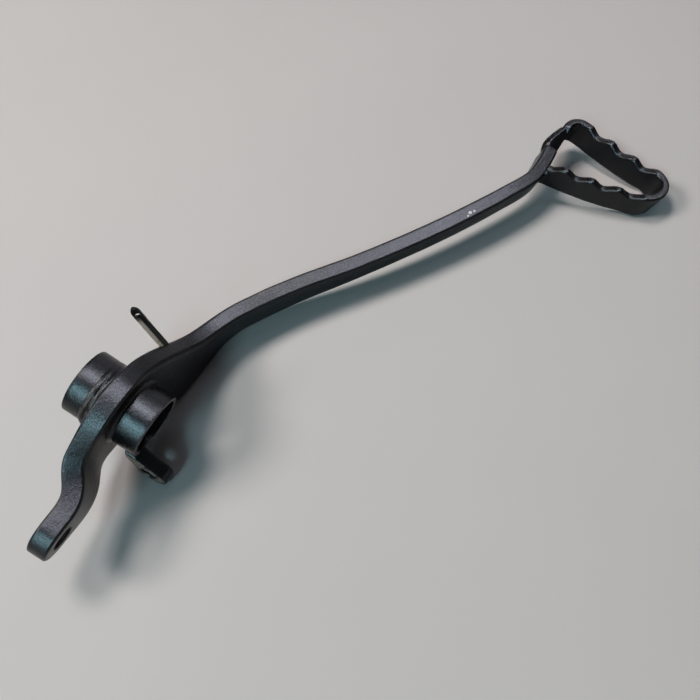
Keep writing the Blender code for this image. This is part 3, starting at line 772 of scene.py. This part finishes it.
def loop_line():
    """Middle of the foot loop's strip seen from above, with the drop of its upper edge."""
    line = []
    for x in np.linspace(ARM_END_X - LOOP_START_SINK, LOOP_CORNER_X, LOOP_START_ROWS):
        drop = LOOP_END_DROP * (1 - eased(x, *LOOP_FRONT_DROP_X))
        drop += LOOP_START_DROP * (1 - eased(x, LOOP_START_DROP_X, LOOP_FRONT_DROP_X[1]))
        line.append((x, LOOP_START_Y, drop))
    for k in range(1, LOOP_CORNER_ROWS):
        turn = math.pi / 2 * k / LOOP_CORNER_ROWS
        x = LOOP_CORNER_X + LOOP_CORNER_RADIUS * math.sin(turn)
        line.append((x, LOOP_START_Y - LOOP_CORNER_RADIUS * (1 - math.cos(turn)), 0.0))
    u_x, u_y = LOOP_U_CENTRE
    for y in np.linspace(LOOP_START_Y - LOOP_CORNER_RADIUS, u_y, LOOP_FRONT_ROWS):
        line.append((run_x(LOOP_FRONT_RUN, y), y, tooth_drop(y)))
    for k in range(1, LOOP_U_ROWS):
        turn = math.pi * k / LOOP_U_ROWS
        x = u_x + LOOP_U_HALF_WIDTH * math.cos(turn)
        y = u_y - LOOP_U_DEPTH * math.sin(turn)
        line.append((x, y, tooth_drop(y)))
    for y in np.linspace(u_y, LOOP_REAR_END_Y - LOOP_REAR_END_SHORT, LOOP_REAR_ROWS):
        end_drop = LOOP_END_DROP * (1 - eased(y, *LOOP_REAR_DROP_Y))
        line.append((run_x(LOOP_REAR_RUN, y), y, max(tooth_drop(y), end_drop)))
    return line


def rounded_section(half, low, high, radius, steps=5, side_rows=8):
    """Points (offset, height) round a strip's section with rounded corners."""
    points = []
    corners = (
        (half - radius, low + radius, -90), (half - radius, high - radius, 0),
        (-half + radius, high - radius, 90), (-half + radius, low + radius, 180),
    )
    for index, (x, y, start) in enumerate(corners):
        for k in range(steps + 1):
            turn = math.radians(start + 90 * k / steps)
            points.append((x + radius * math.cos(turn), y + radius * math.sin(turn)))
        if index in (0, 2):
            span = high - low - 2 * radius
            for k in range(1, side_rows):
                up = k / side_rows
                level = low + radius + span * (up if index == 0 else 1 - up)
                points.append((half if index == 0 else -half, level))
    return points


def foot_loop():
    """The strip, which rises outboard as it goes round."""
    line = np.array(loop_line())
    plan = line[:, :2]
    tangent = np.gradient(plan, axis=0)
    tangent /= np.linalg.norm(tangent, axis=1)[:, None]
    side = np.stack([-tangent[:, 1], tangent[:, 0]], axis=1)
    rise = math.tan(math.radians(LOOP_RISE_DEG))
    loops = []
    for centre, across, drop in zip(plan, side, line[:, 2]):
        section = rounded_section(LOOP_THICKNESS / 2, 0.0, LOOP_HEIGHT - drop, LOOP_EDGE)
        loop = []
        for offset, height in section:
            x, y = centre + across * offset
            loop.append((x, y, LOOP_BASE_Z + (LOOP_START_Y - y) * rise + height))
        loops.append(loop)
    obj = tube_of_loops("foot_loop_strip", loops)
    roughened(obj, *LOOP_WAVES)
    return obj


def front_weld_section(x, t):
    """Points round the front weld at one X: over its crest, down its skirt and back below."""
    outer_y = LOOP_START_Y - LOOP_THICKNESS / 2 - FRONT_WELD_OVERLAP
    crest_y = LOOP_START_Y + float(millimetres(FRONT_WELD_CREST, x - ARM_END_X))
    top = LOOP_BASE_Z + float(millimetres(FRONT_WELD_TOP, x - ARM_END_X))
    end = min(1.0, FRONT_WELD_TAPER * t, FRONT_WELD_TAPER * (1 - t))
    full = math.sqrt(1 - (1 - end) ** 2)
    outer_fall = FRONT_WELD_OUTER_FALL * (1 - FRONT_WELD_THINNING * t)
    width = FRONT_WELD_END_WIDTH + (1 - FRONT_WELD_END_WIDTH) * full
    inner_y = crest_y + FRONT_WELD_INBOARD * width
    points = []
    for k in range(13):
        share = k / 12
        y = outer_y + (crest_y - outer_y) * share
        points.append(Vector((x, y, top - outer_fall * (1 - share) ** FRONT_WELD_STEEPNESS)))
    for k in range(1, 11):
        share = k / 10
        y = crest_y + (inner_y - crest_y) * share
        points.append(Vector((x, y, top - FRONT_WELD_INNER_FALL * share**2)))
    start = points[-1]
    for k in range(1, 12):
        share = k / 11
        y = start.y - (inner_y - crest_y) * share**2
        points.append(Vector((x, y, start.z - FRONT_WELD_SKIRT * share)))
    low = points[-1].z
    edge_y = points[-1].y
    for k in range(1, 8):
        points.append(Vector((x, edge_y + (outer_y - edge_y) * k / 7, low)))
    points.append(Vector((x, outer_y, (low + points[0].z) / 2)))
    return points


def loop_weld_front():
    """Weld over the strip's end: a crest that slopes gently inboard and steeply outboard."""
    loops = []
    for i in range(FRONT_WELD_STATIONS):
        t = i / (FRONT_WELD_STATIONS - 1)
        x = ARM_END_X + FRONT_WELD_BACK + (FRONT_WELD_AHEAD - FRONT_WELD_BACK) * t
        loop = []
        for p in front_weld_section(x, t):
            lump = sum(swell(p, kind) for kind in FRONT_WELD_LUMPS)
            loop.append(p + Vector((0, lump * 0.5, lump)))
        loops.append(loop)
    return tube_of_loops("loop_weld_front_bead", loops)


def bead(name, points, radius):
    """A lumpy weld bead along a line of points, with rounded ends."""
    points = [Vector(p) for p in points]
    loops = []
    count = len(points)
    for i, centre in enumerate(points):
        before = points[max(i - 1, 0)]
        after = points[min(i + 1, count - 1)]
        along = (after - before).normalized()
        first = along.cross(BEAD_SIDEWAYS).normalized()
        second = along.cross(first)
        end = min(min(i, count - 1 - i) / BEAD_TIP_ROWS, 1.0)
        full = math.sqrt(1 - (1 - end) ** 2)
        size = radius * (full * (1 - BEAD_TIP_SHARE) + BEAD_TIP_SHARE)
        ripple = BEAD_RIPPLE[0] * math.sin(i * BEAD_RIPPLE[1])
        loop = []
        for k in range(BEAD_SEGMENTS):
            turn = 2 * math.pi * k / BEAD_SEGMENTS
            out = first * math.cos(turn) + second * math.sin(turn)
            lump = 1 + swell(centre + out * radius, BEAD_LUMPS) + ripple
            loop.append(centre + out * size * lump)
        loops.append(loop)
    return tube_of_loops(name, loops)


def loop_weld_rear():
    """Weld bead up, over and down the strip where it meets the arm's outboard side."""
    centre_x = run_x(LOOP_REAR_RUN, LOOP_REAR_END_Y)
    y = float(millimetres(UPPER_PLAN, centre_x)) - ARM_THICKNESS / 2 + REAR_WELD_OFF
    reach = LOOP_THICKNESS / 2 - REAR_WELD_TUCK
    rise = (LOOP_START_Y - y) * math.tan(math.radians(LOOP_RISE_DEG))
    low = LOOP_BASE_Z + rise + REAR_WELD_LIFT
    high = LOOP_BASE_Z + rise + LOOP_HEIGHT - LOOP_END_DROP - REAR_WELD_BELOW_TOP
    shoulder = high - REAR_WELD_SHOULDER
    path = [(centre_x - reach, y, z) for z in np.linspace(low, shoulder, REAR_WELD_ROWS)]
    for k in range(1, REAR_WELD_TOP_ROWS):
        turn = math.pi * k / REAR_WELD_TOP_ROWS
        z = shoulder + REAR_WELD_CROWN * math.sin(turn)
        path.append((centre_x - reach * math.cos(turn), y, z))
    path += [(centre_x + reach, y, z) for z in np.linspace(shoulder, low, REAR_WELD_ROWS)]
    return bead("loop_weld_rear_bead", path, REAR_WELD_RADIUS)


# The stop lug and the spring tab


def dense_line(points, gap):
    """The points of a closed outline, with more points added along its long straight sides."""
    made = []
    for i, start in enumerate(points):
        end = points[(i + 1) % len(points)]
        steps = max(1, int(np.linalg.norm(end - start) / gap))
        made += [start + (end - start) * k / steps for k in range(steps)]
    return made


def lug_outline():
    """Outline of the stop lug as (y, z) points, from inside the tube's wall round its free end."""
    centre = np.array([LUG_HOLE_Y, LUG_HOLE_Z])
    points = [np.array([LUG_INNER_Y, LUG_UPPER_Z]), np.array([LUG_INNER_Y, LUG_LOWER_Z])]
    for degrees in range(*LUG_ROUND_DEG):
        turn = math.radians(degrees)
        points.append(centre + LUG_END_RADIUS * np.array([math.cos(turn), math.sin(turn)]))
    points.append(np.array([-TUBE_OUTBOARD, -TUBE_OD / 4]))
    points.append(np.array([-TUBE_OUTBOARD, LUG_UPPER_Z]))
    return dense_line(points, LUG_POINT_GAP)


def stop_lug():
    """The lug with rounded edges and its hole, cut away inside the tube."""
    outline = lug_outline()
    middle = np.mean(outline, axis=0)
    arc = [math.radians(90 * k / LUG_EDGE_STEPS) for k in range(LUG_EDGE_STEPS + 1)]
    rings = [(LUG_EDGE * (1 - math.sin(t)), LUG_EDGE * (1 - math.cos(t))) for t in arc[::-1]]
    rings += [(LUG_THICKNESS * k / 5, 0.0) for k in LUG_FIFTHS]
    rings += [(LUG_THICKNESS - d, inset) for d, inset in rings[LUG_EDGE_STEPS::-1]]
    loops = []
    for depth, inset in rings:
        loop = []
        for p in outline:
            toward = middle - p
            q = p + toward / np.linalg.norm(toward) * inset
            loop.append((LUG_REAR_X + depth, q[0], q[1]))
        loops.append(loop)
    obj = tube_of_loops("lug", loops)
    hole = cutter(
        "lug hole cutter", (LUG_REAR_X + LUG_THICKNESS / 2, LUG_HOLE_Y, LUG_HOLE_Z), (1, 0, 0),
        LUG_HOLE_DIAMETER / 2, LUG_THICKNESS, HOLE_EDGE, LUG_THICKNESS / 2,
    )
    cut(obj, hole)
    wall = cutter("lug wall cutter", (0, 0, 0), (0, 1, 0), WELDED_RADIUS, TUBE_OUTBOARD)
    cut(obj, wall)
    roughened(obj, *LUG_WAVES)
    return obj


def spring_tab():
    """A narrow strip that twists a little towards its rounded, drilled tip."""
    along = (TAB_TIP - TAB_FOOT).normalized()
    ahead = Vector((1, 0, 0))
    flat = (ahead - along * along.dot(ahead)).normalized()
    length = (TAB_TIP - TAB_FOOT).length
    round_start = 1 - TAB_TIP_ROUNDING / length
    shares = list(np.linspace(TAB_FOOT_SHARE, round_start, TAB_ROWS))
    shares += [1 - (1 - round_start) * (1 - math.sin(math.radians(a))) for a in range(8, 90, 8)]
    loops = []
    for share in shares:
        twist = math.radians(TAB_TWIST_DEG) * eased(share, TAB_TWIST_START, TAB_TWIST_END)
        wide = Matrix.Rotation(-twist, 3, along) @ flat
        thin = along.cross(wide)
        reach = max(0.0, (share - round_start) / (1 - round_start))
        width = TAB_WIDTH * math.sqrt(max(1 - reach**2, 0.01))
        thick = TAB_THICKNESS + (TAB_TIP_THICKNESS - TAB_THICKNESS) * share
        centre = TAB_FOOT + along * length * share
        edge = min(TAB_EDGE, width / 2.2)
        section = rounded_section(thick / 2, -width / 2, width / 2, edge, 4, 5)
        loops.append([centre + wide * b + thin * a for a, b in section])
    obj = tube_of_loops("tab", loops)
    hole = cutter(
        "tab hole cutter", TAB_TIP - along * TAB_HOLE_FROM_TIP, thin, TAB_HOLE_DIAMETER / 2,
        TAB_CUTTER_HALF_LENGTH, sides=TAB_HOLE_SIDES,
    )
    cut(obj, hole)
    roughened(obj, *TAB_WAVES)
    return obj


# Materials


def node(tree, kind, **values):
    """A new node of a material, with its settings."""
    made = tree.nodes.new(kind)
    for key, value in values.items():
        setattr(made, key, value)
    return made


def put(made, **inputs):
    """Sets a node's inputs by name, with _ for a space."""
    for key, value in inputs.items():
        made.inputs[key.replace("_", " ")].default_value = value
    return made


def pedal_place(tree):
    """The place on the pedal in its own axes, worked out from where it lies."""
    turn = node(tree, "ShaderNodeMapping", vector_type="POINT")
    back = REST.inverted()
    turn.inputs["Location"].default_value = back.to_translation()
    turn.inputs["Rotation"].default_value = back.to_euler()
    tree.links.new(node(tree, "ShaderNodeTexCoord").outputs["Object"], turn.inputs["Vector"])
    return turn.outputs["Vector"]


def noise_field(tree, place, scale, detail=3.0, roughness=0.55):
    """Smooth noise in space, with about this many lumps to a metre."""
    made = node(tree, "ShaderNodeTexNoise")
    put(made, Scale=scale, Detail=detail, Roughness=roughness)
    tree.links.new(place, made.inputs["Vector"])
    return made.outputs["Fac"]


def ranged(tree, value, low, high, to_low=0.0, to_high=1.0):
    """The value carried smoothly from one range to another and held at its ends."""
    made = node(tree, "ShaderNodeMapRange", interpolation_type="SMOOTHSTEP")
    put(made, From_Min=low, From_Max=high, To_Min=to_low, To_Max=to_high)
    tree.links.new(value, made.inputs["Value"])
    return made.outputs["Result"]


def times(tree, first, second, kind="MULTIPLY"):
    """The product of two values, or what another kind of sum makes of them."""
    made = node(tree, "ShaderNodeMath", operation=kind)
    for index, value in enumerate((first, second)):
        if isinstance(value, (int, float)):
            made.inputs[index].default_value = value
        else:
            tree.links.new(value, made.inputs[index])
    return made.outputs["Value"]


def mixed(tree, factor, first, second):
    """The first colour where the factor is 0 and the second where it is 1."""
    made = node(tree, "ShaderNodeMix", data_type="RGBA")
    tree.links.new(factor, made.inputs["Factor"])
    for key, value in (("A", first), ("B", second)):
        socket = [s for s in made.inputs if s.name == key and s.type == "RGBA"][0]
        if isinstance(value, tuple):
            socket.default_value = (*value, 1.0)
        else:
            tree.links.new(value, socket)
    return [s for s in made.outputs if s.type == "RGBA"][0]


def near(tree, place, centre, reach, falloff):
    """1 within the reach of a point of the pedal and 0 past the falloff."""
    made = node(tree, "ShaderNodeVectorMath", operation="DISTANCE")
    tree.links.new(place, made.inputs[0])
    made.inputs[1].default_value = centre
    return ranged(tree, made.outputs["Value"], reach, reach + falloff, 1.0, 0.0)


def worn(tree, mask, colour, rough, wear):
    """Lets the colour and the roughness of the wear through where the mask is 1."""
    worn_colour, worn_rough = wear
    seen = mixed(tree, mask, colour, worn_colour)
    kept = times(tree, rough, times(tree, 1.0, mask, "SUBTRACT"))
    return seen, times(tree, kept, times(tree, mask, worn_rough), "ADD")


def patchy(tree, place, scale, low, high):
    """Irregular patches, 0 where the noise is below the low value and 1 above the high one."""
    return ranged(tree, noise_field(tree, place, scale, 4.0, 0.6), low, high)


def parts_of(tree, place):
    """The x, y and z of a place, each by itself."""
    made = node(tree, "ShaderNodeSeparateXYZ")
    tree.links.new(place, made.inputs["Vector"])
    return made.outputs["X"], made.outputs["Y"], made.outputs["Z"]


def arm_marks(tree, place, colour, rough):
    """Fine pale specks on the upward faces, partly dust and partly a painted mottled sheen on the lit
    tops, three chips close together and two scratched patches.
    """
    facing = node(tree, "ShaderNodeNewGeometry").outputs["Normal"]
    # Specks only on the upward faces: dust there, and a painted sheen where the tops are lit
    upward = ranged(tree, parts_of(tree, facing)[2], *UPWARD_FACE)
    specks = times(tree, patchy(tree, place, *SPECK_PATCHES), upward)
    colour, rough = worn(tree, times(tree, specks, SPECK_SHARE), colour, rough, SPECKS_AND_SHEEN)
    for centre, reach in CHIPS:
        spread = near(tree, place, centre, 0.0, reach * CHIP_SPREAD)
        broken = times(tree, spread, noise_field(tree, place, *CHIP_GRAIN))
        colour, rough = worn(tree, ranged(tree, broken, *CHIP_EDGE), colour, rough, CHIPPED)
    stretched = node(tree, "ShaderNodeMapping", vector_type="POINT")
    put(stretched, Rotation=(0, 0, math.radians(SCRATCH_TURN_DEG)), Scale=SCRATCH_STRETCH)
    tree.links.new(place, stretched.inputs["Vector"])
    streaks = noise_field(tree, stretched.outputs["Vector"], 1.0, 2.0)
    lines = ranged(tree, streaks, *SCRATCH_LINE)
    for centre, reach in SCRATCH_PLACES:
        patch = near(tree, place, centre, reach * SCRATCH_CORE, reach)
        mask = times(tree, patch, times(tree, lines, SCRATCH_SHARE))
        colour, rough = worn(tree, mask, colour, rough, SCRATCHED)
    return colour, rough


def tube_marks(tree, place, colour, rough):
    """A pale line round the outboard mouth's rim, partly rubbed paint and partly a painted highlight
    along the edge.
    """
    start, end = RIM_WEAR_AND_HIGHLIGHT
    y = parts_of(tree, place)[1]
    rim = ranged(tree, y, -TUBE_OUTBOARD + start, -TUBE_OUTBOARD + end, 1.0, 0.0)
    mask = times(tree, rim, patchy(tree, place, *RIM_PATCHES))
    return worn(tree, times(tree, mask, RIM_SHARE), colour, rough, RIM_RUBBED_AND_HIGHLIT)


def collar_marks(tree, place, colour, rough):
    """Brown patches where the paint is thin on the weld."""
    patch = near(tree, place, COLLAR_WEAR_PLACE, *COLLAR_WEAR_REACH)
    mask = times(tree, patch, patchy(tree, place, *COLLAR_PATCHES))
    return worn(tree, mask, colour, rough, BROWNED)


def loop_marks(tree, place, colour, rough):
    """The tops of the teeth are rubbed smoother by the boot."""
    _, y, z = parts_of(tree, place)
    slope = math.tan(math.radians(LOOP_RISE_DEG))
    crest = LOOP_BASE_Z + LOOP_HEIGHT + LOOP_START_Y * slope
    level = times(tree, times(tree, z, times(tree, y, slope), "ADD"), -crest, "ADD")
    rubbed = ranged(tree, level, *TOOTH_WEAR, 0.0, RUBBED_SMOOTH)
    return colour, times(tree, rough, times(tree, 1.0, rubbed, "SUBTRACT"))


def lug_marks(tree, place, colour, rough):
    """The rear edges are rubbed down to a pale line."""
    start, end = LUG_WEAR
    x = parts_of(tree, place)[0]
    edge = ranged(tree, x, LUG_REAR_X + start, LUG_REAR_X + end, 1.0, 0.0)
    mask = times(tree, edge, patchy(tree, place, *LUG_PATCHES))
    return worn(tree, mask, colour, rough, LUG_RUBBED)


def tab_marks(tree, place, colour, rough):
    """The rear edge of the tab is worn pale, less so towards its tip."""
    x, _, z = parts_of(tree, place)
    lean = (TAB_TIP - TAB_FOOT).x / (TAB_TIP - TAB_FOOT).z
    middle = times(tree, times(tree, z, lean), TAB_FOOT.x - TAB_FOOT.z * lean, "ADD")
    behind = ranged(tree, times(tree, x, middle, "SUBTRACT"), *TAB_WEAR, 1.0, 0.0)
    mask = times(tree, behind, ranged(tree, z, *TAB_WEAR_END, 1.0, 0.0))
    mask = times(tree, mask, patchy(tree, place, *TAB_PATCHES))
    return worn(tree, mask, colour, rough, BARE)


def black_paint(name, roughness=0.24, grain=0.8, marks=None):
    """Satin black paint with a fine grain, a small drift of colour and gloss, and its marks of wear
    and of painted light.
    """
    material = bpy.data.materials.new(name)
    material.use_nodes = True
    tree = material.node_tree
    shader = tree.nodes["Principled BSDF"]
    place = pedal_place(tree)
    drift = noise_field(tree, place, PAINT_DRIFT_SCALE)
    fine = noise_field(tree, place, PAINT_FINE_SCALE, 2.0, 0.6)
    coarse = noise_field(tree, place, PAINT_COARSE_SCALE, 2.0, 0.5)
    dark, light = [tuple(c * shade for c in PAINT_BASE) for shade in PAINT_SHADES]
    colour = mixed(tree, drift, dark, light)
    rough = times(tree, times(tree, drift, 0.10), roughness - 0.05, "ADD")
    rough = times(tree, rough, times(tree, fine, 0.10), "ADD")
    if marks is not None:
        colour, rough = marks(tree, place, colour, rough)
    tree.links.new(colour, shader.inputs["Base Color"])
    tree.links.new(rough, shader.inputs["Roughness"])
    put(shader, Specular_IOR_Level=PAINT_GLOSS)
    height = times(tree, fine, times(tree, coarse, PAINT_COARSE_SHARE), "ADD")
    bump = put(node(tree, "ShaderNodeBump"), Strength=grain, Distance=PAINT_BUMP)
    tree.links.new(height, bump.inputs["Height"])
    tree.links.new(bump.outputs["Normal"], shader.inputs["Normal"])
    return material


def floor_material():
    """Pale and matt, with a slight drift of its colour."""
    material = bpy.data.materials.new("pale floor")
    material.use_nodes = True
    tree = material.node_tree
    shader = tree.nodes["Principled BSDF"]
    place = node(tree, "ShaderNodeTexCoord").outputs["Object"]
    drift = noise_field(tree, place, 6.0)
    colour = mixed(tree, drift, FLOOR_DARK, FLOOR_LIGHT)
    tree.links.new(colour, shader.inputs["Base Color"])
    put(shader, Roughness=0.85)
    return material


# Floor, lamps and camera


def floor():
    """The flat floor that the pedal lies on."""
    data = bmesh.new()
    bmesh.ops.create_grid(data, x_segments=2, y_segments=2, size=FLOOR_HALF_SIZE)
    obj = new_object("floor", data)
    obj.data.materials.append(floor_material())


def lamp(name, direction, width, power, colour, length=None, along=(1, 0, 0)):
    """A soft lamp that looks at the pedal from a direction, round or a long panel."""
    data = bpy.data.lights.new(name, "AREA")
    data.shape = "RECTANGLE" if length else "DISK"
    data.size = length or width
    if length:
        data.size_y = width
    data.energy = power
    data.color = colour
    obj = bpy.data.objects.new(name, data)
    bpy.context.scene.collection.objects.link(obj)
    back = Vector(direction).normalized()
    side = Vector(along)
    side = (side - back * back.dot(side)).normalized()
    turn = Matrix((side, back.cross(side), back)).transposed().to_4x4()
    obj.matrix_world = Matrix.Translation(back * LAMP_DISTANCE) @ turn
    return obj


def panel(name, direction, size, power, colour):
    """A lit panel that is seen only as a highlight, its first size along the pedal's arm."""
    made = lamp(name, direction, size[1], power, colour, size[0], PANEL_ALONG)
    made.visible_diffuse = False


def lights():
    """Three lamps that light the floor, and panels that are seen only as highlights."""
    lamp("main lamp", (-0.32, 0.56, 0.77), 0.50, 13.0, WARM_LIGHT)
    lamp("second lamp", (0.10, 0.33, 0.94), 0.50, 12.5, WARM_LIGHT)
    lamp("side lamp", (-0.72, -0.09, 0.68), 0.34, 4.5, (0.50, 0.90, 1.0))
    panel("ceiling panel", (0.16, -0.15, 0.975), (0.85, 0.50), 24.0, (0.82, 0.85, 1.0))
    panel("far ceiling panel", (0.60, -0.24, 0.76), (0.80, 0.50), 8.0, COOL_LIGHT)
    panel("window panel", (-0.72, -0.06, 0.69), (0.90, 0.45), 20.0, (0.50, 0.85, 1.0))
    panel("bright panel", (0.27, -0.18, 0.945), (0.30, 0.16), 4.2, (0.84, 0.86, 1.0))
    panel("low window panel", (-0.93, 0.04, 0.36), (0.50, 0.45), 4.5, (0.55, 0.87, 1.0))
    panel("right wall panel", (0.95, 0.05, 0.28), (0.90, 1.60), 4.5, COOL_LIGHT)
    panel("left wall panel", (-0.97, 0.12, 0.18), (0.60, 1.20), 0.8, (0.86, 0.92, 1.0))
    world = bpy.data.worlds.new("studio")
    bpy.context.scene.world = world
    world.use_nodes = True
    put(world.node_tree.nodes["Background"], Color=WORLD_COLOUR, Strength=WORLD_STRENGTH)


def camera():
    """The camera that the photograph was taken with, as far as it shows."""
    right = (REST.to_3x3() @ CAMERA_RIGHT).normalized()
    up = -(REST.to_3x3() @ CAMERA_DOWN)
    up = (up - right * up.dot(right)).normalized()
    back = right.cross(up)
    data = bpy.data.cameras.new("camera")
    data.lens = CAMERA_LENS
    data.sensor_width = CAMERA_SENSOR
    data.clip_start = CAMERA_CLIP_START
    obj = bpy.data.objects.new("camera", data)
    bpy.context.scene.collection.objects.link(obj)
    turn = Matrix((right, up, back)).transposed().to_4x4()
    obj.matrix_world = Matrix.Translation(REST @ CAMERA_PLACE) @ turn
    bpy.context.scene.camera = obj


def build():
    """Every piece with its paint, then the floor, the lamps and the camera."""
    paint = black_paint("satin black paint")
    arm_paint = black_paint("paint on the arm", roughness=0.25, grain=1.1, marks=arm_marks)
    tube_paint = black_paint("paint on the tube", roughness=0.22, marks=tube_marks)
    collar_paint = black_paint("paint on the collar", marks=collar_marks)
    lug_paint = black_paint("paint on the lug", marks=lug_marks)
    tab_paint = black_paint("paint on the tab", marks=tab_marks)
    loop_paint = black_paint("paint on the foot loop", roughness=0.29, marks=loop_marks)
    finished(arm(), arm_paint, ["pedal_arm"])
    finished(pivot_tube(), tube_paint, ["pivot_tube"])
    finished(tube_weld_inboard(), collar_paint, ["tube_weld_inboard"])
    finished(tube_weld_outboard(), paint, ["tube_weld_outboard"])
    finished(foot_loop(), loop_paint, ["foot_loop"])
    finished(loop_weld_front(), paint, ["loop_weld_front"])
    finished(loop_weld_rear(), paint, ["loop_weld_rear"])
    finished(stop_lug(), lug_paint, ["stop_lug"])
    finished(spring_tab(), tab_paint, ["spring_tab"])
    floor()
    lights()
    camera()
    bpy.context.scene.view_settings.view_transform = "Standard"


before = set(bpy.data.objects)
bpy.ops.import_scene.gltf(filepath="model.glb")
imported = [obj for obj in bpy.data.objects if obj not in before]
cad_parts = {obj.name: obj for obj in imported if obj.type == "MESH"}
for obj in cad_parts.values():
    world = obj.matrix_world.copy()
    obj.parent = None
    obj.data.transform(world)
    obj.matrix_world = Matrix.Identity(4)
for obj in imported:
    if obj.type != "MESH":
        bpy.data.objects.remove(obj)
cad_box = [list(corner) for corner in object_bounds()]
REST = resting_place()
build()
